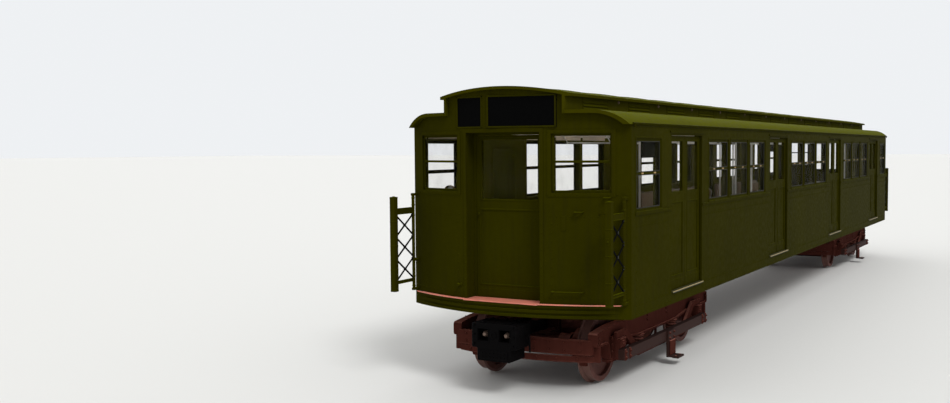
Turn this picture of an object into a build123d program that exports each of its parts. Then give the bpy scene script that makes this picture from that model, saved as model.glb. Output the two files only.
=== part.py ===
from build123d import *

import os
from math import asin, atan2, degrees, sqrt

# A subway car with a clerestory roof, four double sliding doorways a side, a door
# recessed in each bowed end, folding gates at the corners and two swivelling trucks.
# Millimetres. X runs along the car, Y to its left and Z up. Z is 0 at the lowest point
# of the wheel flanges, and heights are given from the rail head, RAIL above that.

# Clearances
RUN = 0.05  # radial clearance of a pin or journal in its bore
SEAT = 0.3  # gap between two pieces that bear on each other and move
FREE = 7  # gap beside a sliding leaf

# Wheels
FLANGE_H = 28
TREAD_R = 430
FLANGE_T = 30
WHEEL_W = 135
FLANGE_TIP_W = 18
BACK_TO_BACK = 1360
RIM_T = 62
WEB_T = 30
HUB_R = 130
HUB_W = 190
AXLE_R = 85
JOURNAL_R = 65
JOURNAL_END = 1060
RAIL = FLANGE_H
AXLE_Z = RAIL + TREAD_R

# Body shell
CORNER_X = 8900
HALF_W = 1500
END_BOW = 400
SKIRT_Z = RAIL + 920
FLOOR_Z = RAIL + 1080
FLOOR_T = 60
EAVE_Z = RAIL + 3170
SKIN_T = 30
POCKET_W = 50
LINING_T = 30
WALL_T = SKIN_T + POCKET_W + LINING_T
END_T = 100
POST_X = 110  # length of the end wall's return round the corner
LIP = 60  # overhang of the roofs past the end wall

# Hinges of the end doors: axis behind the door's inner face and past its edge
HINGE_BACK = 14
HINGE_OUT = 2
KNUCKLE_R = 11
HINGE_PIN_R = 5
KNUCKLE_L = 60
HINGE_HEIGHTS = (RAIL + 1400, RAIL + 2050, RAIL + 2850)

# Roof section
DECK_T = 40
DECK_Z = RAIL + 3300
COVE_Y = 1120
DRIP_Y = 1520
DRIP_W = 70
MONITOR_Y = 820
MONITOR_T = 30
MONITOR_Z = RAIL + 3515
CROWN_LIP = 65
CROWN_T = 35
CROWN_RISE = 80

# Louvred vents along the clerestory
VENT_X = 8400
VENT_COUNT = 13
VENT_L = 700
LOUVRE_COUNT = 3
LOUVRE_PITCH = 38
LOUVRE_H = 32
LOUVRE_OUT = 14
LOUVRE_LOW_Z = RAIL + 3362

# Side doorways, two leaves each
DOORWAY_X = (-7000, -2330, 2330, 7000)
DOORWAY_W = 1180
DOOR_HEAD_Z = RAIL + 3060
SILL_T = 20
SILL_OUT = 25
LEAF_T = POCKET_W - 2 * FREE
LEAF_LAP = 20
LEAF_MEET = 3
LEAF_TRAVEL = 560
POCKET_L = LEAF_LAP + LEAF_TRAVEL + 30
LIGHT_W = 420
LIGHT_LOW_Z = RAIL + 2330
LIGHT_TOP_Z = RAIL + 2990
PANEL_SUNK = 6
PANEL_LOW_Z = RAIL + 1260
PANEL_TOP_Z = RAIL + 2200

# Side windows
WINDOW_LOW_Z = RAIL + 2160
WINDOW_TOP_Z = RAIL + 3010
WINDOW_W = 900
WINDOW_PITCH = 1000
BAY_X = (-4665, 0, 4665)
END_WINDOW_X = 8350
END_WINDOW_W = 800
REVEAL = 10
SASH_T = 12
SASH_W = 32
SASH_RAIL_Z = RAIL + 2600
GLASS_T = 6
BELT_Z = RAIL + 2130
BELT_H = 30
BELT_T = 12
DRIP_MOULD_OUT = 18
DRIP_MOULD_H = 22
DRIP_MOULD_Z = DOOR_HEAD_Z + 30
DRIP_MOULD_OVER = 70

# Bowed ends
NICHE_W = 1000
NICHE_TOP_Z = RAIL + 3090
JAMB_T = 50
DOOR_PLANE_X = 9080
DOOR_FRAME_T = 40
END_DOOR_W = 920
END_DOOR_T = 40
END_DOOR_TOP_Z = RAIL + 3060
END_DOOR_GAP = 5
END_LIGHT_W = 790
END_LIGHT_LOW_Z = RAIL + 2280
END_LIGHT_TOP_Z = RAIL + 3020
TREAD_T = 10
PORT_Y0 = 635
PORT_Y1 = 1300
PORT_LOW_Z = RAIL + 2385
PORT_TOP_Z = RAIL + 3070
TRIM_W = 45
TRIM_OUT = 8
END_PANEL_W = 820
END_PANEL_LOW_Z = RAIL + 1250
END_PANEL_TOP_Z = RAIL + 2165
BUMPER_BOW = 460
BUMPER_Y = 1440
BUMPER_LOW_Z = RAIL + 930
BUMPER_GROOVE = 20
BUMPER_RIBS = 3

# Grab irons on the front's left panel: y and height above the rail of each one's two ends
GRAB_IRONS = [
    ((660, 1235), (1000, 1235)),
    ((920, 2160), (996, 2160)),
    ((1235, 2328), (1290, 2328)),
]
IRON_R = 11
IRON_OUT = 55

# Signs: name, centre across the end, width, lowest and highest edge
SIGNS = [
    ("route", -450, 400, RAIL + 3145, RAIL + 3525),
    ("place", 270, 880, RAIL + 3145, RAIL + 3525),
]
SIGN_SUNK = 10
SIGN_DEEP = 120
SIDE_SIGN_W = 400
SIDE_SIGN_H = 230
SIDE_SIGN_T = 28

# Gates
GATE_Y = 1455
GATE_PIN_X = 110
GATE_L = 450
GATE_LOW_Z = RAIL + 1130
GATE_TOP_Z = RAIL + 2310
GATE_POST = 40
GATE_END_POST = 70
GATE_PIN_R = 12
GATE_BAR_T = 8
GATE_BAR_W = 22
GATE_CELLS = 3
LUG_T = 30

# Rails of a gate: middle height, depth of the rail
GATE_RAILS = [(RAIL + 1237, 38), (RAIL + 2125, 76)]
GATE_RAIL_T = 20

# Underframe
FRAME_Z = FLOOR_Z - FLOOR_T
BEARER_H = 100
BEARER_X = (-3600, -2400, -1200, 0, 1200, 2400, 3600)
BEARER_W = 100
SILL_Y = 1360
CENTRE_SILL_Y = 170
CENTRE_SILL_W = 80
CENTRE_SILL_Z = RAIL + 800
JACK_PAD_L = 240
JACK_PAD_W = 60
JACK_PAD_T = 20
BOLSTER_W = 300

# Trucks
TRUCK_X = 6750
AXLE_X = 1450
PLATE_Z = RAIL + 780
PLATE_R = 180
PLATE_T = 45
PLATE_RIM = 30
CENTRE_T = 40
KING_R = 40
KING_L = 120
KING_FREE = 10
SIDE_FRAME_Y = 890
SIDE_FRAME_T = 120
SIDE_FRAME_X = 2030
FRAME_TOP_Z = RAIL + 730
ARCH_Z = RAIL + 520
FRAME_ROUND = 40
FRAME_SHOULDER = 90
FRAME_TOE = 60
FRAME_FALL = 40
FRAME_RIM = 24
WEB_SUNK = 35
JAW_W = 70
JAW_TIE_T = 25
TRANSOM_X = 200
TRANSOM_T = 100
TRANSOM_LOW_Z = RAIL + 460
TRANSOM_TOP_Z = RAIL + 700
BOLSTER_DROP = 30
BOLSTER_DEEP = 20
END_BAR_Y = SIDE_FRAME_Y + SIDE_FRAME_T / 2
BOX_W = 220
BOX_H = 260
BOX_PROUD = 15
LID_T = 16
LID_EDGE = 15
BOX_TOP_Z = AXLE_Z + BOX_H / 2
FRAME_LOW_Z = AXLE_Z - BOX_H / 2

# Bars across a truck's ends: outer face beside the frames, bow, thickness, lowest and highest face
END_BARS = [
    (SIDE_FRAME_X, 100, 80, RAIL + 430, RAIL + 600),
    (SIDE_FRAME_X - 60, 170, 50, RAIL + 335, RAIL + 400),
]

# Brake shoes
SHOE_GAP = 6
SHOE_T = 44
SHOE_W = 85
SHOE_Y = 760
SHOE_LOW = 170
SHOE_HIGH = 60
BRAKE_HEAD_H = 60

# Springs of a truck
SPRING_X = 620
SPRING_R = 80
SPRING_WIRE = 18
SPRING_TURNS = 5
SPRING_TOP_Z = RAIL + 460
SPRING_SEAT_T = 30
SEAT_RIM = 5
LEAF_HALF_L = 330
LEAF_HALF_H = 110
LEAF_PACK_T = 34
LEAF_PACK_W = 90
LEAF_Y = 770
LEAF_BAND = 90
LEAF_BAND_T = 8
PLANK_T = 30
PLANK_X = 270
PLANK_Y = 875
HANGER_X = 250
HANGER_W = 30

# Equalizer bars
EQUALIZER_T = 40
EQUALIZER_H = 100
EQUALIZER_Z = RAIL + 230
EQUALIZER_ROUND = 60
EQUALIZER_TIP = 80
EQUALIZER_BEND_X = 260
EQUALIZER_RISE = 60
EQUALIZER_THIN = 50
EQUALIZER_Y = SIDE_FRAME_Y + SIDE_FRAME_T + 10

# Motors
MOTOR_R = 260
MOTOR_X = 900
MOTOR_W = 900
NOSE_W = 300
NOSE_T = 100
NOSE_UP = 20
BEARING_Y = 330
BEARING_W = 160
BEARING_R = 125
ARM_H = 160
GEAR_CASE_Y = 480
GEAR_CASE_W = 110
GEAR_CASE_H = 400

# Wooden beams that carry the current collectors
BEAM_GAP = 20
BEAM_T = 80
BEAM_H = 130
SHOE_ARM_W = 240
SHOE_ARM_T = 35
COLLECTOR_Y = 1330
COLLECTOR_Z = RAIL + 75
COLLECTOR_T = 20
COLLECTOR_W = 220

# Couplers
COUPLER_PIN_X = 8320
COUPLER_FACE_X = 9490
COUPLER_HEAD_L = 350
DRAWBAR_LOW_Z = RAIL + 617
DRAWBAR_TOP_Z = RAIL + 783
COUPLER_PIN_R = 40
HEAD_W = 600
HEAD_FOOT_W = 450
HEAD_TOP_Z = RAIL + 848
HEAD_STEP_Z = RAIL + 555
HEAD_LOW_Z = RAIL + 402
HEAD_ROUND = 18
HEAD_CHAMFER = 8
DRAWBAR_W = 180
DRAWBAR_EYE_R = 100
POCKET_Y = 145
POCKET_Z = RAIL + 710
POCKET_SIZE = 140
POCKET_DEEP = 120
YOKE_BACK = 170
YOKE_FRONT = 130
YOKE_T = 50
YOKE_GAP = 5


def block(x, y, z, mode=Mode.ADD):
    """A box between the pairs x, y and z, added to the part in hand."""
    middle = (sum(x) / 2, sum(y) / 2, sum(z) / 2)
    with Locations(middle):
        Box(x[1] - x[0], y[1] - y[0], z[1] - z[0], mode=mode)


def bow_radius(half_w, bow):
    return (half_w**2 + bow**2) / (2 * bow)


def wall_face_x(y, offset=0):
    """X of the front wall's outer face at y, or of an arc offset from it."""
    radius = bow_radius(HALF_W, END_BOW)
    return CORNER_X + END_BOW - radius + sqrt((radius + offset) ** 2 - y**2)


def bowed_plan(corner_x, half_w, bow):
    """Plan of the whole body: straight sides and an arc at each end."""
    with BuildSketch() as plan:
        with BuildLine():
            Line((-corner_x, half_w), (corner_x, half_w))
            ThreePointArc((corner_x, half_w), (corner_x + bow, 0), (corner_x, -half_w))
            Line((corner_x, -half_w), (-corner_x, -half_w))
            ThreePointArc((-corner_x, -half_w), (-corner_x - bow, 0), (-corner_x, half_w))
        make_face()
    return plan.sketch


def layer(depth):
    """Plane parallel to the left side, at a depth inside its outer face."""
    return Plane.XZ.offset(depth - HALF_W)


def save(piece, name):
    piece.part.label = name
    export_step(piece.part, f"parts/{name}.step")


os.makedirs("parts", exist_ok=True)

# Side walls: skin, door pocket and lining in one panel
side_windows = [
    (bay + step * WINDOW_PITCH, WINDOW_W) for bay in BAY_X for step in (-1, 0, 1)
] + [(-END_WINDOW_X, END_WINDOW_W), (END_WINDOW_X, END_WINDOW_W)]
side_end_x = CORNER_X - POST_X
window_h = WINDOW_TOP_Z - WINDOW_LOW_Z
window_mid_z = (WINDOW_TOP_Z + WINDOW_LOW_Z) / 2
light_heights = (
    (WINDOW_LOW_Z + SASH_W, SASH_RAIL_Z - SASH_W / 2),
    (SASH_RAIL_Z + SASH_W / 2, WINDOW_TOP_Z - SASH_W),
)

with BuildPart() as side_wall_left:
    block((-side_end_x, side_end_x), (HALF_W - WALL_T, HALF_W), (SKIRT_Z, EAVE_Z))
    with Locations((0, HALF_W + BELT_T / 2, BELT_Z)):
        Box(2 * side_end_x, BELT_T, BELT_H)
    for x in DOORWAY_X:
        over = DOORWAY_W / 2 + DRIP_MOULD_OVER
        mould_z = (DRIP_MOULD_Z, DRIP_MOULD_Z + DRIP_MOULD_H)
        block((x - over, x + over), (HALF_W, HALF_W + DRIP_MOULD_OUT), mould_z)
    with BuildSketch(layer(-BELT_T)):
        for x in DOORWAY_X:
            with Locations((x, (FLOOR_Z - SILL_T + DOOR_HEAD_Z) / 2)):
                Rectangle(DOORWAY_W, DOOR_HEAD_Z - FLOOR_Z + SILL_T)
    extrude(amount=WALL_T + BELT_T, mode=Mode.SUBTRACT)
    with BuildSketch(layer(SKIN_T)):
        for x in DOORWAY_X:
            with Locations((x, (FLOOR_Z + DOOR_HEAD_Z) / 2)):
                Rectangle(DOORWAY_W + 2 * POCKET_L, DOOR_HEAD_Z - FLOOR_Z)
    extrude(amount=POCKET_W, mode=Mode.SUBTRACT)
    with BuildSketch(layer(0)):
        for x, width in side_windows:
            with Locations((x, window_mid_z)):
                Rectangle(width, window_h)
    extrude(amount=REVEAL, mode=Mode.SUBTRACT)
    with BuildSketch(layer(REVEAL)):
        for x, width in side_windows:
            for low, high in light_heights:
                with Locations((x, (low + high) / 2)):
                    Rectangle(width - 2 * SASH_W, high - low)
    extrude(amount=SASH_T, mode=Mode.SUBTRACT)
    with BuildSketch(layer(REVEAL + SASH_T)):
        for x, width in side_windows:
            with Locations((x, window_mid_z)):
                Rectangle(width, window_h)
    extrude(amount=WALL_T - REVEAL - SASH_T, mode=Mode.SUBTRACT)
save(side_wall_left, "side_wall_left")

with BuildPart() as side_wall_right:
    mirror(side_wall_left.part, about=Plane.XZ)
save(side_wall_right, "side_wall_right")

# Section of the end wall, up under the decks and the crown
with BuildSketch() as end_section:
    with BuildLine():
        eave = Polyline((0, SKIRT_Z), (HALF_W, SKIRT_Z), (HALF_W, EAVE_Z), (DRIP_Y - DRIP_W, EAVE_Z))
        cove = TangentArc((COVE_Y, DECK_Z), eave @ 1, tangent=(1, 0))
        inner_y = MONITOR_Y - MONITOR_T
        rise = Polyline(cove @ 0, (inner_y, DECK_Z), (inner_y, MONITOR_Z))
        crown = ThreePointArc(rise @ 1, (0, MONITOR_Z + CROWN_RISE), (-inner_y, MONITOR_Z))
        Line(crown @ 1, (0, MONITOR_Z))
        Line((0, MONITOR_Z), eave @ 0)
    make_face()
    mirror(about=Plane.YZ)


def sign_place(y, low, high, depth):
    """Place of a sign in the front wall, square to the bow, at a depth behind its face."""
    turn = degrees(asin(y / bow_radius(HALF_W, END_BOW)))
    plane = Plane(Location((wall_face_x(y), y, (low + high) / 2), (0, 0, turn)))
    return plane.location * Location((-depth, 0, 0))


def bowed_trim(y, out, deep):
    """Plan of a strip of the front wall between a pair of y, proud of its face by out."""
    with BuildSketch() as plan:
        add(bowed_plan(CORNER_X + out, HALF_W, END_BOW))
        add(bowed_plan(CORNER_X - deep, HALF_W, END_BOW), mode=Mode.SUBTRACT)
        with Locations((CORNER_X, sum(y) / 2)):
            Rectangle(2 * END_BOW + POST_X, y[1] - y[0], mode=Mode.INTERSECT)
    return plan.sketch


with BuildPart() as end_wall_front:
    with BuildSketch(Plane.XY.offset(SKIRT_Z)):
        add(bowed_plan(CORNER_X, HALF_W, END_BOW))
        with BuildLine():
            inner = HALF_W - WALL_T
            arc = ThreePointArc(
                (wall_face_x(inner, -END_T), inner),
                (CORNER_X + END_BOW - END_T, 0),
                (wall_face_x(inner, -END_T), -inner),
            )
            Polyline(arc @ 1, (-CORNER_X, -inner), (-CORNER_X, inner), arc @ 0)
        make_face(mode=Mode.SUBTRACT)
        with Locations((side_end_x - CORNER_X * 2, 0)):
            Rectangle(4 * CORNER_X, 4 * HALF_W, mode=Mode.SUBTRACT)
    extrude(amount=MONITOR_Z + CROWN_RISE - SKIRT_Z)
    with BuildSketch(Plane.YZ.offset(side_end_x)):
        add(end_section.sketch)
    extrude(amount=END_BOW + 2 * POST_X, mode=Mode.INTERSECT)
    # Trims round the windows and the niche
    port_trim = (PORT_Y0 - TRIM_W, PORT_Y1 + TRIM_W)
    port_trim_z = (PORT_LOW_Z - TRIM_W, PORT_TOP_Z + TRIM_W)
    niche_trim = (-NICHE_W / 2 - TRIM_W, NICHE_W / 2 + TRIM_W)
    niche_trim_z = (FLOOR_Z + TREAD_T, NICHE_TOP_Z + TRIM_W)
    for y, z in (
        (port_trim, port_trim_z),
        ((-port_trim[1], -port_trim[0]), port_trim_z),
        (niche_trim, niche_trim_z),
    ):
        with BuildSketch(Plane.XY.offset(z[0])):
            add(bowed_trim(y, TRIM_OUT, END_T / 2))
        extrude(amount=z[1] - z[0])
    # Niche for the door: jambs, soffit and door frame
    frame_back = DOOR_PLANE_X - DOOR_FRAME_T
    niche = (-NICHE_W / 2, NICHE_W / 2)
    jambs = (-NICHE_W / 2 - JAMB_T, NICHE_W / 2 + JAMB_T)
    jamb_front = wall_face_x(jambs[1], -END_T / 2)
    block((frame_back, jamb_front), jambs, (FLOOR_Z, NICHE_TOP_Z + JAMB_T))
    block((DOOR_PLANE_X, CORNER_X + END_BOW + POST_X), niche, (FLOOR_Z, NICHE_TOP_Z), Mode.SUBTRACT)
    opening = END_DOOR_W / 2 + END_DOOR_GAP
    door_space = (-opening, opening)
    door_high = (FLOOR_Z, END_DOOR_TOP_Z + END_DOOR_GAP)
    block((frame_back, DOOR_PLANE_X), door_space, door_high, Mode.SUBTRACT)
    # Windows each side of the niche
    for side in (-1, 1):
        ports = sorted((side * PORT_Y0, side * PORT_Y1))
        block((side_end_x, CORNER_X + END_BOW), ports, (PORT_LOW_Z, PORT_TOP_Z), Mode.SUBTRACT)
    for name, y, width, low, high in SIGNS:
        with Locations(sign_place(y, low, high, 0)):
            Box(2 * SIGN_DEEP + 2 * END_T, width, high - low, mode=Mode.SUBTRACT)
    # Lugs for the gates
    for side in (-1, 1):
        for z in (GATE_LOW_Z - LUG_T, GATE_TOP_Z):
            lug_y = (side * GATE_Y - GATE_POST / 2, side * GATE_Y + GATE_POST / 2)
            lug_x = (CORNER_X - POST_X / 2, CORNER_X + GATE_PIN_X + GATE_POST / 2)
            block(lug_x, lug_y, (z, z + LUG_T))
            with Locations((CORNER_X + GATE_PIN_X, side * GATE_Y, z + LUG_T / 2)):
                Cylinder(GATE_PIN_R + RUN, 2 * LUG_T, mode=Mode.SUBTRACT)
    # Hinge pins of the end door, each in two knuckles on the back of the frame
    hinge_x = frame_back - HINGE_BACK
    hinge_y = END_DOOR_W / 2 + HINGE_OUT
    for z in HINGE_HEIGHTS:
        with Locations((hinge_x, hinge_y, z)):
            Cylinder(HINGE_PIN_R, 2 * KNUCKLE_L)
        for step in (-1, 1):
            middle_z = z + step * (3 * KNUCKLE_L / 4 + SEAT)
            with Locations((hinge_x, hinge_y, middle_z)):
                Cylinder(KNUCKLE_R, KNUCKLE_L / 2)
            leaf_y = (hinge_y + HINGE_PIN_R, hinge_y + 3 * KNUCKLE_R)
            leaf_z = (middle_z - KNUCKLE_L / 4, middle_z + KNUCKLE_L / 4)
            block((hinge_x - HINGE_PIN_R / 2, frame_back), leaf_y, leaf_z)
save(end_wall_front, "end_wall_front")

with BuildPart() as end_wall_rear:
    add(end_wall_front.part.rotate(Axis.Z, 180))
save(end_wall_rear, "end_wall_rear")

# Lower roof: one deck each side
with BuildPart() as lower_roof:
    with BuildSketch(Plane.YZ.offset(-CORNER_X - END_BOW - LIP)) as deck_section:
        with BuildLine():
            foot = Line((DRIP_Y - DRIP_W, EAVE_Z), (DRIP_Y, EAVE_Z))
            over = TangentArc((COVE_Y, DECK_Z + DECK_T), foot @ 1, tangent=(1, 0))
            Polyline(over @ 0, (MONITOR_Y, DECK_Z + DECK_T), (MONITOR_Y, DECK_Z), (COVE_Y, DECK_Z))
            TangentArc((COVE_Y, DECK_Z), foot @ 0, tangent=(1, 0))
        make_face()
        mirror(about=Plane.YZ)
    extrude(amount=2 * (CORNER_X + END_BOW + LIP))
    with BuildSketch(Plane.XY.offset(SKIRT_Z)):
        add(bowed_plan(CORNER_X + LIP, DRIP_Y + LIP, END_BOW))
    extrude(amount=3 * HALF_W, mode=Mode.INTERSECT)
save(lower_roof, "lower_roof")

# Clerestory: two walls and a crown
with BuildPart() as clerestory:
    edge_y = MONITOR_Y + CROWN_LIP
    crown_low = MONITOR_Z - CROWN_T / 2
    with BuildSketch(Plane.YZ.offset(-CORNER_X - END_BOW - LIP)):
        with BuildLine():
            outer = ThreePointArc(
                (edge_y, MONITOR_Z + CROWN_T / 2),
                (0, MONITOR_Z + CROWN_RISE + CROWN_T),
                (-edge_y, MONITOR_Z + CROWN_T / 2),
            )
            left = Polyline(
                outer @ 1,
                (-edge_y, crown_low),
                (-MONITOR_Y, crown_low),
                (-MONITOR_Y, DECK_Z),
                (-inner_y, DECK_Z),
                (-inner_y, MONITOR_Z),
            )
            under = ThreePointArc(left @ 1, (0, MONITOR_Z + CROWN_RISE), (inner_y, MONITOR_Z))
            Polyline(
                under @ 1,
                (inner_y, DECK_Z),
                (MONITOR_Y, DECK_Z),
                (MONITOR_Y, crown_low),
                (edge_y, crown_low),
                outer @ 0,
            )
        make_face()
    extrude(amount=2 * (CORNER_X + END_BOW + LIP))
    with BuildSketch(Plane.XY.offset(SKIRT_Z)):
        add(bowed_plan(CORNER_X + LIP, HALF_W, END_BOW))
    extrude(amount=3 * HALF_W, mode=Mode.INTERSECT)
    vent_pitch = 2 * VENT_X / (VENT_COUNT - 1)
    for number in range(VENT_COUNT):
        vent_x = number * vent_pitch - VENT_X
        with BuildSketch(Plane.YZ.offset(vent_x - VENT_L / 2)):
            for slat in range(LOUVRE_COUNT):
                slat_z = LOUVRE_LOW_Z + slat * LOUVRE_PITCH
                with BuildLine():
                    Polyline(
                        (MONITOR_Y - MONITOR_T / 2, slat_z),
                        (MONITOR_Y + LOUVRE_OUT, slat_z),
                        (MONITOR_Y - MONITOR_T / 2, slat_z + LOUVRE_H + MONITOR_T / 2),
                        close=True,
                    )
                make_face()
            mirror(about=Plane.YZ)
        extrude(amount=VENT_L)
save(clerestory, "clerestory")

# Fixed glass of the sides and ends
with BuildPart() as window_glass:
    with BuildSketch(layer(REVEAL + SASH_T)):
        for x, width in side_windows:
            with Locations((x, window_mid_z)):
                Rectangle(width, window_h)
    extrude(amount=GLASS_T)
    mirror(about=Plane.XZ)
    pane_turn = degrees(asin((PORT_Y0 + PORT_Y1) / 2 / bow_radius(HALF_W, END_BOW)))
    with BuildSketch(Plane.XY.offset(PORT_LOW_Z)):
        for turn in (0, 180):
            for side in (-1, 1):
                middle = (PORT_Y0 + PORT_Y1) / 2
                pane = Location((wall_face_x(middle, -END_T / 2), side * middle), side * pane_turn)
                with Locations(Location((0, 0), turn) * pane):
                    Rectangle(GLASS_T, PORT_Y1)
        with Locations(*[(0, side * (PORT_Y0 + PORT_Y1) / 2) for side in (-1, 1)]):
            Rectangle(3 * CORNER_X, PORT_Y1 - PORT_Y0, mode=Mode.INTERSECT)
    extrude(amount=PORT_TOP_Z - PORT_LOW_Z)
save(window_glass, "window_glass")

# Bumpers under the end treads
bumper_corner = CORNER_X + (HALF_W - BUMPER_Y) / 2
bumper_bow = BUMPER_BOW - (HALF_W - BUMPER_Y) / 2
bands = 2 * BUMPER_RIBS - 1
band_h = (FLOOR_Z - BUMPER_LOW_Z) / bands
with BuildPart() as anticlimbers:
    for band in range(bands):
        back = BUMPER_GROOVE * (band % 2)
        with BuildSketch(Plane.XY.offset(BUMPER_LOW_Z + band * band_h)):
            add(bowed_plan(bumper_corner - back, BUMPER_Y - back, bumper_bow))
            add(bowed_plan(CORNER_X + SEAT, HALF_W, END_BOW), mode=Mode.SUBTRACT)
        extrude(amount=band_h)
save(anticlimbers, "anticlimbers")

# Treads: a plate in each side doorway and a bowed one at each end
with BuildPart() as door_treads:
    for side in (-1, 1):
        for x in DOORWAY_X:
            plate_y = sorted((side * (HALF_W - WALL_T), side * (HALF_W + SILL_OUT)))
            block((x - DOORWAY_W / 2, x + DOORWAY_W / 2), plate_y, (FLOOR_Z - SILL_T, FLOOR_Z))
    with BuildSketch(Plane.XY.offset(FLOOR_Z)):
        add(bowed_plan(bumper_corner, BUMPER_Y, bumper_bow))
        add(bowed_plan(CORNER_X + SEAT, HALF_W, END_BOW), mode=Mode.SUBTRACT)
        for end in (-1, 1):
            with Locations((end * (frame_back + CORNER_X + BUMPER_BOW - TREAD_T) / 2, 0)):
                Rectangle(CORNER_X + BUMPER_BOW - TREAD_T - frame_back, NICHE_W)
            with Locations((end * (frame_back + DOOR_PLANE_X) / 2, 0)):
                Rectangle(DOOR_FRAME_T, NICHE_W, mode=Mode.SUBTRACT)
                Rectangle(DOOR_FRAME_T, END_DOOR_W + 2 * END_DOOR_GAP)
    extrude(amount=TREAD_T)
save(door_treads, "door_treads")

# Floor, inside the walls
with BuildPart() as floor:
    with BuildSketch(Plane.XY.offset(FLOOR_Z - FLOOR_T)):
        with BuildLine():
            inner = HALF_W - WALL_T
            front = ThreePointArc(
                (wall_face_x(inner, -END_T), inner),
                (CORNER_X + END_BOW - END_T, 0),
                (wall_face_x(inner, -END_T), -inner),
            )
            rear = ThreePointArc(
                (-wall_face_x(inner, -END_T), -inner),
                (-(CORNER_X + END_BOW - END_T), 0),
                (-wall_face_x(inner, -END_T), inner),
            )
            Line(front @ 1, rear @ 0)
            Line(rear @ 1, front @ 0)
        make_face()
    extrude(amount=FLOOR_T)
save(floor, "floor")

# Underframe: side sills with jack pads, centre sills, and what crosses between them
wall_in = HALF_W - WALL_T
sill_in = SILL_Y - BEARER_W / 2
bearer_z = (FRAME_Z - BEARER_H, FRAME_Z)
bolster_x = (TRUCK_X - BOLSTER_W / 2, TRUCK_X + BOLSTER_W / 2)
yoke_x = (COUPLER_PIN_X - YOKE_BACK, COUPLER_PIN_X + YOKE_FRONT)
centre_in = CENTRE_SILL_Y - CENTRE_SILL_W / 2
centre_out = CENTRE_SILL_Y + CENTRE_SILL_W / 2
with BuildPart() as side_sills:
    for side in (-1, 1):
        block((-side_end_x, side_end_x), sorted((side * sill_in, side * wall_in)), bearer_z)
        for end in (-1, 1):
            pad_z = bearer_z[0] - JACK_PAD_T / 2
            with Locations((end * TRUCK_X, side * (sill_in + wall_in) / 2, pad_z)):
                Box(JACK_PAD_L, JACK_PAD_W, JACK_PAD_T)
save(side_sills, "side_sills")

sill_runs = [(-bolster_x[0], bolster_x[0]), (bolster_x[1], yoke_x[0]), (yoke_x[1], side_end_x)]
with BuildPart() as centre_sills:
    for near, far in sill_runs + [(-far, -near) for near, far in sill_runs[1:]]:
        for side in (-1, 1):
            block((near, far), sorted((side * centre_in, side * centre_out)), (CENTRE_SILL_Z, FRAME_Z))
save(centre_sills, "centre_sills")

with BuildPart() as cross_bearers:
    for x in BEARER_X + (-side_end_x + BEARER_W / 2, side_end_x - BEARER_W / 2):
        for span in ((-sill_in, -centre_out), (-centre_in, centre_in), (centre_out, sill_in)):
            block((x - BEARER_W / 2, x + BEARER_W / 2), span, bearer_z)
    for end in (-1, 1):
        # Body bolster, deepest at its centre plate, and the king pin under it
        with BuildSketch(Plane.YZ.offset(end * TRUCK_X - BOLSTER_W / 2)):
            with BuildLine():
                Polyline(
                    (-sill_in, FRAME_Z),
                    (-sill_in, FRAME_Z - BEARER_H),
                    (-PLATE_R * 2, PLATE_Z + CENTRE_T),
                    (PLATE_R * 2, PLATE_Z + CENTRE_T),
                    (sill_in, FRAME_Z - BEARER_H),
                    (sill_in, FRAME_Z),
                    close=True,
                )
            make_face()
        extrude(amount=BOLSTER_W)
        with Locations((end * TRUCK_X, 0, PLATE_Z)):
            Cylinder(PLATE_R, PLATE_T, align=(Align.CENTER, Align.CENTER, Align.MIN))
            Cylinder(KING_R, KING_L, align=(Align.CENTER, Align.CENTER, Align.MAX))
        # Yoke that holds the drawbar
        yoke = sorted(end * x for x in yoke_x)
        slot = sorted((end * (yoke_x[0] + YOKE_T), end * (yoke_x[1] + YOKE_T)))
        block(yoke, (-centre_out, centre_out), (DRAWBAR_LOW_Z - YOKE_T, FRAME_Z))
        slot_z = (DRAWBAR_LOW_Z - YOKE_GAP, DRAWBAR_TOP_Z + YOKE_GAP)
        block(slot, (-centre_out, centre_out), slot_z, Mode.SUBTRACT)
        with Locations((end * COUPLER_PIN_X, 0, (DRAWBAR_LOW_Z + DRAWBAR_TOP_Z) / 2)):
            Cylinder(COUPLER_PIN_R, DRAWBAR_TOP_Z - DRAWBAR_LOW_Z + YOKE_T)
save(cross_bearers, "cross_bearers")

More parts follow.
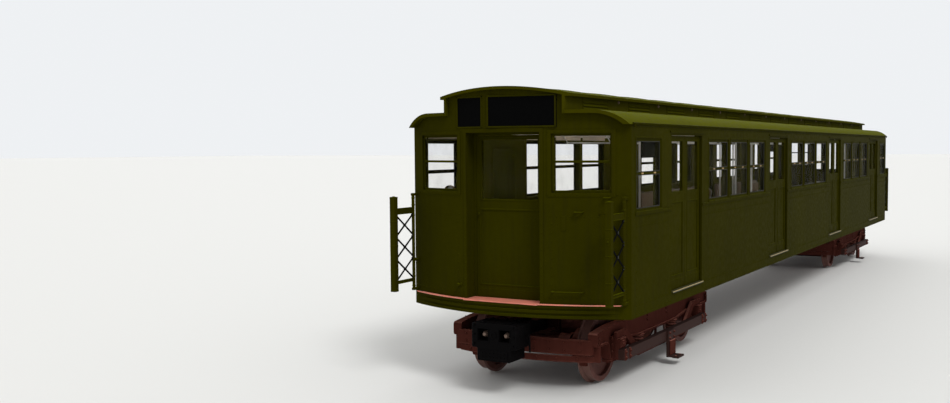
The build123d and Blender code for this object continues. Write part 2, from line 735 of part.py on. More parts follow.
# Equipment slung from the cross bearers: kind, near x, far x, near y, far y, lowest z
EQUIPMENT = [
    ("grids", -3600, -2400, 260, 600, RAIL + 620),
    ("grids", -2350, -1200, -600, -260, RAIL + 600),
    ("case", -1150, 1050, 260, 560, RAIL + 640),
    ("case", 1250, 3550, -600, -260, RAIL + 620),
    ("tank", 1150, 2450, 260, 600, RAIL + 570),
    ("case", 2550, 3550, 260, 600, RAIL + 640),
]
HANGER_T = 40
GRID_PITCH = 80
GRID_T = 30
GRID_RAIL_H = 40
LID_PITCH = 460
LID_GAP = 25
LID_PROUD = 12
slung_z = FRAME_Z - BEARER_H
with BuildPart() as underfloor_equipment:
    for kind, x0, x1, y0, y1, low in EQUIPMENT:
        if kind == "case":
            # Closed case with a row of lids on its outer side
            outward = 1 if y0 > 0 else -1
            face_y = y1 - LID_PROUD if outward > 0 else y0 + LID_PROUD
            block((x0, x1), sorted((face_y, y0 if outward > 0 else y1)), (low, slung_z))
            lids = round((x1 - x0) / LID_PITCH)
            pitch = (x1 - x0) / lids
            for number in range(lids):
                lid_x = (x0 + number * pitch + LID_GAP, x0 + (number + 1) * pitch - LID_GAP)
                lid_y = sorted((face_y, face_y + outward * LID_PROUD))
                block(lid_x, lid_y, (low + LID_GAP, slung_z - LID_GAP))
        elif kind == "grids":
            # Resistor grids: upright frames in a row between two rails
            for z in (low, slung_z - GRID_RAIL_H):
                block((x0, x1), (y0, y1), (z, z + GRID_RAIL_H))
            frames = round((x1 - x0 - GRID_T) / GRID_PITCH)
            for number in range(frames + 1):
                grid_x = x0 + number * (x1 - x0 - GRID_T) / frames
                block((grid_x, grid_x + GRID_T), (y0, y1), (low, slung_z))
        else:
            # Air tank in two strap hangers
            radius = (y1 - y0) / 2
            middle = ((x0 + x1) / 2, (y0 + y1) / 2, low + radius)
            with Locations(Location(middle, (0, 90, 0))):
                Cylinder(radius - LID_PROUD, x1 - x0)
            for end in (-1, 1):
                strap_x = middle[0] + end * (x1 - x0 - BEARER_W) / 2
                with Locations(Location((strap_x, *middle[1:]), (0, 90, 0))):
                    Cylinder(radius, HANGER_T)
                strap = (strap_x - HANGER_T / 2, strap_x + HANGER_T / 2)
                block(strap, (y0, y1), (middle[2], slung_z))
save(underfloor_equipment, "underfloor_equipment")

# Seats: kind, distance of the seat's middle from the bay's middle, size along the car
SEAT_TOP_Z = FLOOR_Z + 450
SEAT_BACK_Z = FLOOR_Z + 980
CUSHION_T = 120
SEAT_DEEP = 480
BACK_T = 90
PAIR_W = 880
PLINTH_IN = 30
PLINTH_END = 10
REST_GAP = 1
SEATS = [
    ("bench", -1130, 1060),
    ("pair", -300, SEAT_DEEP),
    ("pair", 300, SEAT_DEEP),
    ("bench", 1130, 1060),
]
seat_frames = BuildPart()
seat_cushions = BuildPart()
seat_rows = [
    (kind, side, bay + offset, 1 if offset > 0 else -1, length)
    for side in (-1, 1)
    for bay in BAY_X
    for kind, offset, length in SEATS
]
with seat_frames:
    for kind, side, x, face, length in seat_rows:
        deep = SEAT_DEEP if kind == "bench" else PAIR_W
        span = sorted((side * (wall_in - deep + PLINTH_IN), side * wall_in))
        plinth = (x - length / 2 + PLINTH_END, x + length / 2 - PLINTH_END)
        block(plinth, span, (FLOOR_Z, SEAT_TOP_Z - CUSHION_T))
save(seat_frames, "seat_frames")
with seat_cushions:
    for kind, side, x, face, length in seat_rows:
        deep = SEAT_DEEP if kind == "bench" else PAIR_W
        span = sorted((side * (wall_in - deep), side * (wall_in - REST_GAP)))
        block((x - length / 2, x + length / 2), span, (SEAT_TOP_Z - CUSHION_T, SEAT_TOP_Z))
        if kind == "bench":
            rest = sorted((side * (wall_in - BACK_T), side * (wall_in - REST_GAP)))
            block((x - length / 2, x + length / 2), rest, (SEAT_TOP_Z, SEAT_BACK_Z))
        else:
            back = sorted((x - face * length / 2, x - face * (length / 2 - BACK_T)))
            block(back, span, (SEAT_TOP_Z, SEAT_BACK_Z))
save(seat_cushions, "seat_cushions")

# Cab partitions at the right of each end
PANEL_T = 30
CAB_X = 7660
CAB_Y = NICHE_W / 2 + JAMB_T + PANEL_T
CAB_TOP_Z = FLOOR_Z + 2000
CAB_WINDOW = (CAB_X + 300, CAB_X + 900)
CAB_WINDOW_TOP_Z = RAIL + 2910
with BuildPart() as cab_partitions:
    block((CAB_X, CAB_X + PANEL_T), (-wall_in, -CAB_Y + PANEL_T), (FLOOR_Z, CAB_TOP_Z))
    block((CAB_X, wall_face_x(CAB_Y, -END_T)), (-CAB_Y, -CAB_Y + PANEL_T), (FLOOR_Z, CAB_TOP_Z))
    through = (-CAB_Y - PANEL_T, -CAB_Y + 2 * PANEL_T)
    block(CAB_WINDOW, through, (WINDOW_LOW_Z, CAB_WINDOW_TOP_Z), Mode.SUBTRACT)
    add(cab_partitions.part.rotate(Axis.Z, 180))
save(cab_partitions, "cab_partitions")

# Grab poles from floor to deck
POLE_R = 17
POLE_X = 480
POLE_Y = 880
with BuildPart() as grab_poles:
    for x in DOORWAY_X:
        with Locations((x, 0, FLOOR_Z)):
            with GridLocations(2 * POLE_X, 2 * POLE_Y, 2, 2):
                Cylinder(POLE_R, DECK_Z - FLOOR_Z, align=(Align.CENTER, Align.CENTER, Align.MIN))
save(grab_poles, "grab_poles")

# Sign boxes, blank
with BuildPart() as sign_boxes:
    for name, y, width, low, high in SIGNS:
        with Locations(sign_place(y, low, high, SIGN_DEEP / 2 + SIGN_SUNK)):
            Box(SIGN_DEEP, width, high - low)
    sign_x = END_WINDOW_X - END_WINDOW_W / 2
    block(
        (sign_x, sign_x + SIDE_SIGN_W),
        (HALF_W - WALL_T, HALF_W - WALL_T + SIDE_SIGN_T),
        (WINDOW_TOP_Z - SIDE_SIGN_H, WINDOW_TOP_Z),
    )
    add(sign_boxes.part.rotate(Axis.Z, 180))
save(sign_boxes, "sign_boxes")


def bar(start, stop, radius):
    """A round bar from one point to another, added to the part in hand."""
    along = Vector(*stop) - Vector(*start)
    with Locations(Plane(origin=start, z_dir=along).location):
        Cylinder(radius, along.length, align=(Align.CENTER, Align.CENTER, Align.MIN))


# Grab irons: a bar on two feet that end at the bowed wall
with BuildPart() as handrails:
    for iron in GRAB_IRONS:
        tips = [(wall_face_x(y) + IRON_OUT, y, RAIL + height) for y, height in iron]
        bar(*tips, IRON_R)
        for x, y, z in tips:
            with Locations((x, y, z)):
                Sphere(IRON_R)
            bar((x, y, z), (x - IRON_OUT - IRON_R, y, z), IRON_R)
    with BuildSketch(Plane.XY.offset(SKIRT_Z)):
        add(bowed_plan(CORNER_X + SEAT, HALF_W, END_BOW))
    extrude(amount=2 * HALF_W, mode=Mode.SUBTRACT)
    add(handrails.part.rotate(Axis.Z, 180))
save(handrails, "handrails")

# Side door leaves, two to a doorway
leaf_w = DOORWAY_W / 2 - LEAF_MEET + LEAF_LAP
for side_name, side in (("left", 1), ("right", -1)):
    for number, x in enumerate(reversed(DOORWAY_X), 1):
        for half_name, half in (("front", 1), ("rear", -1)):
            name = f"door_{side_name}_{number}_{half_name}"
            with BuildPart() as leaf:
                meet = x + half * LEAF_MEET
                span = sorted((meet, meet + half * leaf_w))
                outer = side * (HALF_W - SKIN_T - FREE)
                thick = sorted((outer, outer - side * LEAF_T))
                block(span, thick, (FLOOR_Z + SEAT, DOOR_HEAD_Z - FREE))
                pane = meet + half * (DOORWAY_W / 4 - LEAF_MEET)
                pane_x = (pane - LIGHT_W / 2, pane + LIGHT_W / 2)
                block(pane_x, thick, (LIGHT_LOW_Z, LIGHT_TOP_Z), Mode.SUBTRACT)
                sunk = sorted((outer, outer - side * PANEL_SUNK))
                block(pane_x, sunk, (PANEL_LOW_Z, PANEL_TOP_Z), Mode.SUBTRACT)
            save(leaf, name)

# End doors, hinged in their frames
for name, turn in (("end_door_front", 0), ("end_door_rear", 180)):
    with BuildPart() as end_door:
        thick = (DOOR_PLANE_X - END_DOOR_T, DOOR_PLANE_X)
        block(thick, (-END_DOOR_W / 2, END_DOOR_W / 2), (FLOOR_Z + TREAD_T + SEAT, END_DOOR_TOP_Z))
        block(thick, (-END_LIGHT_W / 2, END_LIGHT_W / 2), (END_LIGHT_LOW_Z, END_LIGHT_TOP_Z), Mode.SUBTRACT)
        sunk = (DOOR_PLANE_X - PANEL_SUNK, DOOR_PLANE_X)
        panel_y = (-END_PANEL_W / 2, END_PANEL_W / 2)
        block(sunk, panel_y, (END_PANEL_LOW_Z, END_PANEL_TOP_Z), Mode.SUBTRACT)
        flap_x = (hinge_x - HINGE_PIN_R / 2, thick[0])
        flap_y = (hinge_y - 3 * KNUCKLE_R, hinge_y - HINGE_PIN_R)
        for z in HINGE_HEIGHTS:
            block(flap_x, flap_y, (z - KNUCKLE_L / 2, z + KNUCKLE_L / 2))
            with Locations((hinge_x, hinge_y, z)):
                Cylinder(KNUCKLE_R, KNUCKLE_L)
                Cylinder(HINGE_PIN_R + RUN, KNUCKLE_L, mode=Mode.SUBTRACT)
        if turn:
            add(end_door.part.rotate(Axis.Z, turn), mode=Mode.REPLACE)
    save(end_door, name)

# Corner gates: a hinged post, an outer post and a lattice between
GATES = [
    ("gate_front_left", 1, 1),
    ("gate_front_right", 1, -1),
    ("gate_rear_left", -1, 1),
    ("gate_rear_right", -1, -1),
]
gate_low, gate_high = GATE_LOW_Z + SEAT, GATE_TOP_Z - SEAT
lattice_low = GATE_RAILS[0][0] + GATE_RAILS[0][1] / 2
lattice_high = GATE_RAILS[1][0] - GATE_RAILS[1][1] / 2
cell_h = (lattice_high - lattice_low) / GATE_CELLS
cell_l = GATE_L - GATE_END_POST
for name, end, side in GATES:
    with BuildPart() as gate:
        pin_x = end * (CORNER_X + GATE_PIN_X)
        y = side * GATE_Y
        middle_x = pin_x + end * cell_l / 2
        with Locations((pin_x, y, (gate_low + gate_high) / 2)):
            Cylinder(GATE_POST / 2, gate_high - gate_low)
            Cylinder(GATE_PIN_R, gate_high - gate_low + 2 * LUG_T)
        with Locations((pin_x + end * (GATE_L - GATE_END_POST / 2), y, (gate_low + gate_high) / 2)):
            Box(GATE_END_POST, GATE_END_POST, gate_high - gate_low)
        for z, height in GATE_RAILS:
            with Locations((middle_x, y, z)):
                Box(cell_l, GATE_RAIL_T, height)
        for row in range(GATE_CELLS):
            for tilt in (-1, 1):
                middle = (middle_x, y + tilt * GATE_BAR_T / 2, lattice_low + cell_h * (row + 0.5))
                slope = tilt * degrees(atan2(cell_h, cell_l))
                with Locations(Location(middle, (0, slope, 0))):
                    Box(sqrt(cell_h**2 + cell_l**2), GATE_BAR_T, GATE_BAR_W)
    save(gate, name)

# Couplers
for name, turn in (("coupler_front", 0), ("coupler_rear", 180)):
    with BuildPart() as coupler:
        bar_z = (DRAWBAR_LOW_Z, DRAWBAR_TOP_Z)
        head_x = COUPLER_FACE_X - COUPLER_HEAD_L
        block((COUPLER_PIN_X, head_x), (-DRAWBAR_W / 2, DRAWBAR_W / 2), bar_z)
        with Locations((COUPLER_PIN_X, 0, sum(bar_z) / 2)):
            Cylinder(DRAWBAR_EYE_R, bar_z[1] - bar_z[0])
            Cylinder(COUPLER_PIN_R + RUN, 2 * (bar_z[1] - bar_z[0]), mode=Mode.SUBTRACT)
        with BuildSketch(Plane.YZ.offset(head_x)) as head_outline:
            with Locations((0, (HEAD_STEP_Z + HEAD_TOP_Z) / 2)):
                Rectangle(HEAD_W, HEAD_TOP_Z - HEAD_STEP_Z)
            with Locations((0, (HEAD_LOW_Z + HEAD_STEP_Z) / 2)):
                Rectangle(HEAD_FOOT_W, HEAD_STEP_Z - HEAD_LOW_Z)
            fillet(head_outline.vertices(), HEAD_ROUND)
        extrude(amount=COUPLER_HEAD_L)
        for y in (-POCKET_Y, POCKET_Y):
            pocket_y = (y - POCKET_SIZE / 2, y + POCKET_SIZE / 2)
            pocket_z = (POCKET_Z - POCKET_SIZE / 2, POCKET_Z + POCKET_SIZE / 2)
            block((COUPLER_FACE_X - POCKET_DEEP, COUPLER_FACE_X), pocket_y, pocket_z, Mode.SUBTRACT)
        chamfer(coupler.faces().sort_by(Axis.X)[-1].edges(), HEAD_CHAMFER)
        if turn:
            add(coupler.part.rotate(Axis.Z, turn), mode=Mode.REPLACE)
    save(coupler, name)

# Wheelsets: one revolved body each
rim_r = TREAD_R - RIM_T
flange_r = TREAD_R + FLANGE_H
wheel_back = BACK_TO_BACK / 2
wheel_face = wheel_back + WHEEL_W
web_in = wheel_back + (WHEEL_W - WEB_T) / 2
hub_in = wheel_back + (WHEEL_W - HUB_W) / 2
WHEELSETS = [
    ("wheelset_1", TRUCK_X + AXLE_X),
    ("wheelset_2", TRUCK_X - AXLE_X),
    ("wheelset_3", -TRUCK_X + AXLE_X),
    ("wheelset_4", -TRUCK_X - AXLE_X),
]
for name, x in WHEELSETS:
    with BuildPart() as wheelset:
        with BuildSketch(Plane((x, 0, AXLE_Z))):
            with BuildLine():
                Polyline(
                    (0, 0),
                    (AXLE_R, 0),
                    (AXLE_R, hub_in),
                    (HUB_R, hub_in),
                    (HUB_R, web_in),
                    (rim_r, web_in),
                    (rim_r, wheel_back),
                    (flange_r, wheel_back),
                    (flange_r, wheel_back + FLANGE_TIP_W),
                    (TREAD_R, wheel_back + FLANGE_T),
                    (TREAD_R, wheel_face),
                    (rim_r, wheel_face),
                    (rim_r, web_in + WEB_T),
                    (HUB_R, web_in + WEB_T),
                    (HUB_R, hub_in + HUB_W),
                    (JOURNAL_R, hub_in + HUB_W),
                    (JOURNAL_R, JOURNAL_END),
                    (0, JOURNAL_END),
                    close=True,
                )
            make_face()
            mirror(about=Plane.XZ)
        revolve(axis=Axis((x, 0, AXLE_Z), (0, 1, 0)))
    save(wheelset, name)

# Trucks, built at the origin and moved to each end
half_frame = [
    (SPRING_X + SPRING_R + FRAME_RIM, SPRING_TOP_Z),
    (AXLE_X - BOX_W / 2 - JAW_W - FRAME_SHOULDER, ARCH_Z),
    (AXLE_X - BOX_W / 2 - JAW_W, FRAME_LOW_Z),
    (AXLE_X + BOX_W / 2 + JAW_W, FRAME_LOW_Z),
    (AXLE_X + BOX_W / 2 + JAW_W + FRAME_TOE, ARCH_Z),
    (SIDE_FRAME_X, ARCH_Z),
    (SIDE_FRAME_X, FRAME_TOP_Z - FRAME_FALL),
    (AXLE_X + BOX_W / 2 + FRAME_TOE, FRAME_TOP_Z),
]
with BuildSketch() as side_profile:
    with BuildLine():
        Polyline(*half_frame, *[(-x, z) for x, z in reversed(half_frame)], close=True)
    make_face()
    fillet(side_profile.vertices(), FRAME_ROUND)
    with Locations(*[(end * AXLE_X, (FRAME_LOW_Z + BOX_TOP_Z) / 2) for end in (-1, 1)]):
        Rectangle(BOX_W, BOX_TOP_Z - FRAME_LOW_Z, mode=Mode.SUBTRACT)


def bowed_bar(x, bow, thick):
    """Plan of a bar across a truck's front end, bowed out between the side frames."""
    with BuildSketch() as plan:
        with BuildLine():
            front = ThreePointArc((x, END_BAR_Y), (x + bow, 0), (x, -END_BAR_Y))
            back = ThreePointArc((x - thick, -END_BAR_Y), (x - thick + bow, 0), (x - thick, END_BAR_Y))
            Line(front @ 1, back @ 0)
            Line(back @ 1, front @ 0)
        make_face()
    return plan.sketch


def across(x, y, z):
    """Plane upright along the car at a point, its normal to the right."""
    return Plane((x, y, z), x_dir=(1, 0, 0), z_dir=(0, -1, 0))


with BuildPart() as truck_frame:
    with BuildSketch(across(0, SIDE_FRAME_Y + SIDE_FRAME_T, 0)):
        add(side_profile.sketch)
    extrude(amount=SIDE_FRAME_T)
    with BuildSketch(across(0, SIDE_FRAME_Y + SIDE_FRAME_T, 0)):
        add(side_profile.sketch)
        offset(amount=-FRAME_RIM, kind=Kind.INTERSECTION, mode=Mode.REPLACE)
    extrude(amount=WEB_SUNK, mode=Mode.SUBTRACT)
    for end in (-1, 1):
        jaws = (end * AXLE_X - BOX_W / 2 - JAW_W, end * AXLE_X + BOX_W / 2 + JAW_W)
        frame_y = (SIDE_FRAME_Y, SIDE_FRAME_Y + SIDE_FRAME_T)
        block(jaws, frame_y, (FRAME_LOW_Z - JAW_TIE_T, FRAME_LOW_Z))
        leg = sorted((end * (END_BARS[1][0] - END_BARS[1][2]), end * END_BARS[1][0]))
        block(leg, frame_y, (END_BARS[1][3], ARCH_Z + FRAME_RIM))
        # Brake shoe against the wheel's outer side, on a head at the end of the headstock
        with BuildSketch(across(end * AXLE_X, SHOE_Y + SHOE_W / 2, AXLE_Z)):
            Circle(TREAD_R + SHOE_GAP + SHOE_T)
            Circle(TREAD_R + SHOE_GAP, mode=Mode.SUBTRACT)
            with Locations((end * TREAD_R, (SHOE_HIGH - SHOE_LOW) / 2)):
                Rectangle(TREAD_R, SHOE_HIGH + SHOE_LOW, mode=Mode.INTERSECT)
        extrude(amount=SHOE_W)
        head_x = sorted((end * (AXLE_X + TREAD_R + SHOE_GAP + SHOE_T / 2), end * SIDE_FRAME_X))
        head_z = (END_BARS[0][3] - BRAKE_HEAD_H / 2, END_BARS[0][3] + BRAKE_HEAD_H / 2)
        block(head_x, (SHOE_Y - BRAKE_HEAD_H / 2, SHOE_Y + BRAKE_HEAD_H / 2), head_z)
    mirror(about=Plane.XZ)
    for end in (-1, 1):
        transom = sorted((end * TRANSOM_X, end * (TRANSOM_X + TRANSOM_T)))
        block(transom, (-SIDE_FRAME_Y, SIDE_FRAME_Y), (TRANSOM_LOW_Z, TRANSOM_TOP_Z))
    for x, bow, thick, low, high in END_BARS:
        for turn in (0, 180):
            with BuildSketch(Plane.XY.offset(low)):
                add(bowed_bar(x, bow, thick).rotate(Axis.Z, turn))
            extrude(amount=high - low)

# Bolster, deepest in the middle, on full elliptic springs that stand on a swung plank
leaf_mid_z = TRANSOM_LOW_Z + BOLSTER_DEEP - LEAF_HALF_H
plank_top_z = leaf_mid_z - LEAF_HALF_H
plate_low_z = PLATE_Z - CENTRE_T
arm_low_z = plate_low_z - BOLSTER_DROP
with BuildPart() as truck_bolster:
    with BuildSketch(Plane.YZ.offset(-TRANSOM_X)):
        with BuildLine():
            Polyline(
                (-SIDE_FRAME_Y, arm_low_z),
                (-SIDE_FRAME_Y, leaf_mid_z + LEAF_HALF_H),
                (-LEAF_Y + 2 * LEAF_PACK_W, leaf_mid_z + LEAF_HALF_H),
                (-LEAF_Y / 2, TRANSOM_LOW_Z - BOLSTER_DEEP),
                (LEAF_Y / 2, TRANSOM_LOW_Z - BOLSTER_DEEP),
                (LEAF_Y - 2 * LEAF_PACK_W, leaf_mid_z + LEAF_HALF_H),
                (SIDE_FRAME_Y, leaf_mid_z + LEAF_HALF_H),
                (SIDE_FRAME_Y, arm_low_z),
                (2 * PLATE_R, plate_low_z),
                (-2 * PLATE_R, plate_low_z),
                close=True,
            )
        make_face()
    extrude(amount=2 * TRANSOM_X)
    with Locations((0, 0, plate_low_z)):
        Cylinder(PLATE_R + PLATE_RIM, CENTRE_T - SEAT, align=(Align.CENTER, Align.CENTER, Align.MIN))
    with Locations((0, 0, PLATE_Z)):
        hanging = (Align.CENTER, Align.CENTER, Align.MAX)
        Cylinder(KING_R + RUN, KING_L + KING_FREE, align=hanging, mode=Mode.SUBTRACT)
    for side in (-1, 1):
        with BuildSketch(across(0, side * LEAF_Y + LEAF_PACK_W / 2, leaf_mid_z)):
            for length, height, mode in (
                (LEAF_HALF_L, LEAF_HALF_H, Mode.ADD),
                (LEAF_HALF_L - 2 * LEAF_PACK_T, LEAF_HALF_H - LEAF_PACK_T, Mode.SUBTRACT),
            ):
                with BuildLine():
                    ThreePointArc((-length, 0), (0, height), (length, 0))
                    ThreePointArc((length, 0), (0, -height), (-length, 0))
                make_face(mode=mode)
        extrude(amount=LEAF_PACK_W)
        band_half_w = LEAF_PACK_W / 2 + LEAF_BAND_T
        band_y = (side * LEAF_Y - band_half_w, side * LEAF_Y + band_half_w)
        band_h = LEAF_PACK_T + LEAF_BAND_T
        for low in (leaf_mid_z - LEAF_HALF_H, leaf_mid_z + LEAF_HALF_H - band_h):
            block((-LEAF_BAND / 2, LEAF_BAND / 2), band_y, (low, low + band_h))
        hanger_y = sorted((side * (PLANK_Y - HANGER_W), side * PLANK_Y))
        for x in (-HANGER_X, HANGER_X):
            block((x - HANGER_W / 2, x + HANGER_W / 2), hanger_y, (plank_top_z, TRANSOM_LOW_Z))
    block((-PLANK_X, PLANK_X), (-PLANK_Y, PLANK_Y), (plank_top_z - PLANK_T, plank_top_z))

box_in = SIDE_FRAME_Y - BOX_PROUD
box_out = JOURNAL_END + BEAM_GAP
with BuildPart() as journal_boxes:
    for side in (-1, 1):
        span = sorted((side * box_in, side * box_out))
        lid = sorted((side * box_out, side * (box_out + LID_T)))
        for end in (-1, 1):
            middle = end * AXLE_X
            block((middle - BOX_W / 2, middle + BOX_W / 2), span, (FRAME_LOW_Z, BOX_TOP_Z))
            lid_x = (middle - BOX_W / 2 + LID_EDGE, middle + BOX_W / 2 - LID_EDGE)
            block(lid_x, lid, (AXLE_Z + LID_EDGE, BOX_TOP_Z - LID_EDGE))
            with Locations(Location((middle, side * (box_in + JOURNAL_END) / 2, AXLE_Z), (90, 0, 0))):
                Cylinder(JOURNAL_R + RUN, JOURNAL_END - box_in + 2 * SEAT, mode=Mode.SUBTRACT)

# Equalizer bars outside the side frames, with the coil springs that stand on their seats
half_bar = [
    (SPRING_X + EQUALIZER_BEND_X, EQUALIZER_Z),
    (AXLE_X - BOX_W / 2 - EQUALIZER_RISE, BOX_TOP_Z),
    (AXLE_X + BOX_W / 2, BOX_TOP_Z),
    (AXLE_X + BOX_W / 2, BOX_TOP_Z + EQUALIZER_TIP),
    (AXLE_X - BOX_W / 2 - EQUALIZER_RISE - EQUALIZER_THIN, BOX_TOP_Z + EQUALIZER_TIP),
    (SPRING_X + EQUALIZER_BEND_X - EQUALIZER_THIN, EQUALIZER_Z + EQUALIZER_H),
]
spring_y = SIDE_FRAME_Y + SIDE_FRAME_T / 2
spring_low_z = EQUALIZER_Z + SPRING_SEAT_T
spring_pitch = (SPRING_TOP_Z - spring_low_z) / SPRING_TURNS
with BuildPart() as equalizers:
    with BuildSketch(across(0, EQUALIZER_Y + EQUALIZER_T, 0)):
        with BuildLine():
            Polyline(*half_bar, *[(-x, z) for x, z in reversed(half_bar)], close=True)
        make_face()
    extrude(amount=EQUALIZER_T)
    corners = equalizers.edges().filter_by(Axis.Y)
    bends = corners.filter_by(lambda edge: abs(edge.center().X) < AXLE_X - BOX_W / 2)
    fillet(bends, EQUALIZER_ROUND)
    for end in (-1, 1):
        seat_x = (end * SPRING_X - SPRING_R / 2, end * SPRING_X + SPRING_R / 2)
        block(seat_x, (spring_y, EQUALIZER_Y), (EQUALIZER_Z, EQUALIZER_Z + SPRING_SEAT_T))
        with Locations((end * SPRING_X, spring_y, EQUALIZER_Z)):
            Cylinder(SPRING_R + SEAT_RIM, SPRING_SEAT_T, align=(Align.CENTER, Align.CENTER, Align.MIN))
        with BuildSketch(across(end * SPRING_X, spring_y, spring_low_z)):
            with BuildLine():
                coils = [(0, 0)]
                for turn in range(SPRING_TURNS):
                    coils.append((SPRING_R - SPRING_WIRE, turn * spring_pitch))
                    coils.append((SPRING_R, (turn + 0.5) * spring_pitch))
                top = SPRING_TURNS * spring_pitch
                Polyline(*coils, (SPRING_R - SPRING_WIRE, top), (0, top), close=True)
            make_face()
        revolve(axis=Axis((end * SPRING_X, spring_y, 0), (0, 0, 1)))
    mirror(about=Plane.XZ)

# Motors, each on its nose at the transom and its bearings on the axle, geared at one end
with BuildPart() as motors:
    for end in (-1, 1):
        with Locations(Location((end * MOTOR_X, 0, AXLE_Z), (90, 0, 0))):
            Cylinder(MOTOR_R, MOTOR_W)
        nose = sorted((end * (TRANSOM_X + TRANSOM_T), end * MOTOR_X))
        block(nose, (-NOSE_W / 2, NOSE_W / 2), (AXLE_Z + NOSE_UP, AXLE_Z + NOSE_UP + NOSE_T))
        for y in (-BEARING_Y, BEARING_Y):
            arm = sorted((end * MOTOR_X, end * AXLE_X))
            block(arm, (y - BEARING_W / 2, y + BEARING_W / 2), (AXLE_Z - ARM_H / 2, AXLE_Z + ARM_H / 2))
            with Locations(Location((end * AXLE_X, y, AXLE_Z), (90, 0, 0))):
                Cylinder(BEARING_R, BEARING_W)
        case_y = end * (GEAR_CASE_Y + GEAR_CASE_W / 2) + GEAR_CASE_W / 2
        with BuildSketch(across(end * (MOTOR_X + AXLE_X) / 2, case_y, AXLE_Z)):
            SlotCenterToCenter(AXLE_X - MOTOR_X, GEAR_CASE_H)
        extrude(amount=GEAR_CASE_W)
        shaft = sorted((end * MOTOR_W / 2, end * GEAR_CASE_Y))
        with Locations((end * MOTOR_X, sum(shaft) / 2, AXLE_Z)):
            Box(GEAR_CASE_H / 2, shaft[1] - shaft[0], GEAR_CASE_H / 2)
        with Locations(Location((end * AXLE_X, 0, AXLE_Z), (90, 0, 0))):
            Cylinder(AXLE_R + RUN, 2 * (GEAR_CASE_Y + GEAR_CASE_W), mode=Mode.SUBTRACT)

# Beams with a current collector slung outside each
with BuildPart() as shoe_beams:
    for side in (-1, 1):
        beam_y = (JOURNAL_END + BEAM_GAP, JOURNAL_END + BEAM_GAP + BEAM_T)
        arm_y = (beam_y[1], beam_y[1] + SHOE_ARM_T)
        pieces = [
            ((-AXLE_X - BOX_W / 2, AXLE_X + BOX_W / 2), beam_y, (FRAME_LOW_Z, FRAME_LOW_Z + BEAM_H)),
            ((-SHOE_ARM_W / 2, SHOE_ARM_W / 2), arm_y, (COLLECTOR_Z, FRAME_LOW_Z + BEAM_H)),
            (
                (-COLLECTOR_W / 2, COLLECTOR_W / 2),
                (arm_y[0], COLLECTOR_Y),
                (COLLECTOR_Z, COLLECTOR_Z + COLLECTOR_T),
            ),
        ]
        for x, y, z in pieces:
            block(x, sorted((side * y[0], side * y[1])), z)

TRUCK_PIECES = [
    ("truck_frame", truck_frame),
    ("truck_bolster", truck_bolster),
    ("journal_boxes", journal_boxes),
    ("equalizers", equalizers),
    ("motors", motors),
    ("shoe_beams", shoe_beams),
]
for end_name, end in (("front", 1), ("rear", -1)):
    for piece_name, piece in TRUCK_PIECES:
        with BuildPart() as placed:
            add(piece.part.moved(Location((end * TRUCK_X, 0, 0))))
        save(placed, f"{piece_name}_{end_name}")
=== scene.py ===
"""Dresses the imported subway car: paint, glass, seats, lamps, rivets, gates and running gear."""

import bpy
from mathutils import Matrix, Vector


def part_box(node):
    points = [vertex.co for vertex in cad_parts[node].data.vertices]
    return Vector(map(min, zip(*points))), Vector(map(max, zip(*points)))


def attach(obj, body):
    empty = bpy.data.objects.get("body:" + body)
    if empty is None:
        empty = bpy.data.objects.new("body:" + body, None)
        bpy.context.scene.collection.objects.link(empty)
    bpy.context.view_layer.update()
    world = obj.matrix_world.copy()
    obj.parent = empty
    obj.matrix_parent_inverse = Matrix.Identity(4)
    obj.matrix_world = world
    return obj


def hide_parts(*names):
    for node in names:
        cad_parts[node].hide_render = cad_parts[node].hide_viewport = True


bl_info = {
    "name": "Subway car dresser",
    "version": (1, 0, 0),
    "blender": (4, 5, 0),
    "location": "View3D > Sidebar > Subway car",
    "description": "Finishes and fittings for a clerestory subway car",
    "category": "Object",
}

from math import asin, cos, pi, radians, sin, sqrt

import bmesh
import bpy
from bpy.props import FloatProperty, FloatVectorProperty, PointerProperty
from mathutils import Matrix, Vector

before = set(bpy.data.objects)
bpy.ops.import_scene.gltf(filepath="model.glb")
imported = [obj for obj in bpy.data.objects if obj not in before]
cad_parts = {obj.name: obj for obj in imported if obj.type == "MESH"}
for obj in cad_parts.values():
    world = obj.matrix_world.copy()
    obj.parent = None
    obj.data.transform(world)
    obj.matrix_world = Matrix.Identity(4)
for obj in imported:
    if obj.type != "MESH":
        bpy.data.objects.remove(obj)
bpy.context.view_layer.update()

# Places read from the frame, in metres
WALL_LOW, WALL_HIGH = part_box("side_wall_left")
SIDE_END = WALL_HIGH.x
SKIRT_Z = WALL_LOW.z
EAVE_Z = WALL_HIGH.z
WALL_IN = WALL_LOW.y
FLOOR_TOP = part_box("floor")[1].z

# Sizes of the body that the frame's boxes don't give, in metres
RAIL_Z = 0.028
HALF_WIDTH = 1.5
CORNER_X = 8.9
END_BOW = 0.4
BOW_RADIUS = (HALF_WIDTH**2 + END_BOW**2) / (2 * END_BOW)
DOORWAY_HALF = 0.59
BELT_Z = RAIL_Z + 2.13
WINDOW_LOW_Z, WINDOW_TOP_Z = RAIL_Z + 2.16, RAIL_Z + 3.01
SASH_RAIL_Z = RAIL_Z + 2.6
SASH_W = 0.032
PORT_Y = (0.635, 1.3)
PORT_Z = (RAIL_Z + 2.385, RAIL_Z + 3.07)
PORT_RAIL_Z = PORT_Z[0] + 0.36
DOOR_PLANE_X = 9.08
END_DOOR_THICK = 0.04
DECK_Z = RAIL_Z + 3.3
MONITOR_Y, MONITOR_Z = 0.82, RAIL_Z + 3.515
TRUCK_X, AXLE_X, AXLE_Z = 6.75, 1.45, RAIL_Z + 0.43
COUPLER_FACE_X = 9.49
COUPLER_Z = RAIL_Z + 0.71

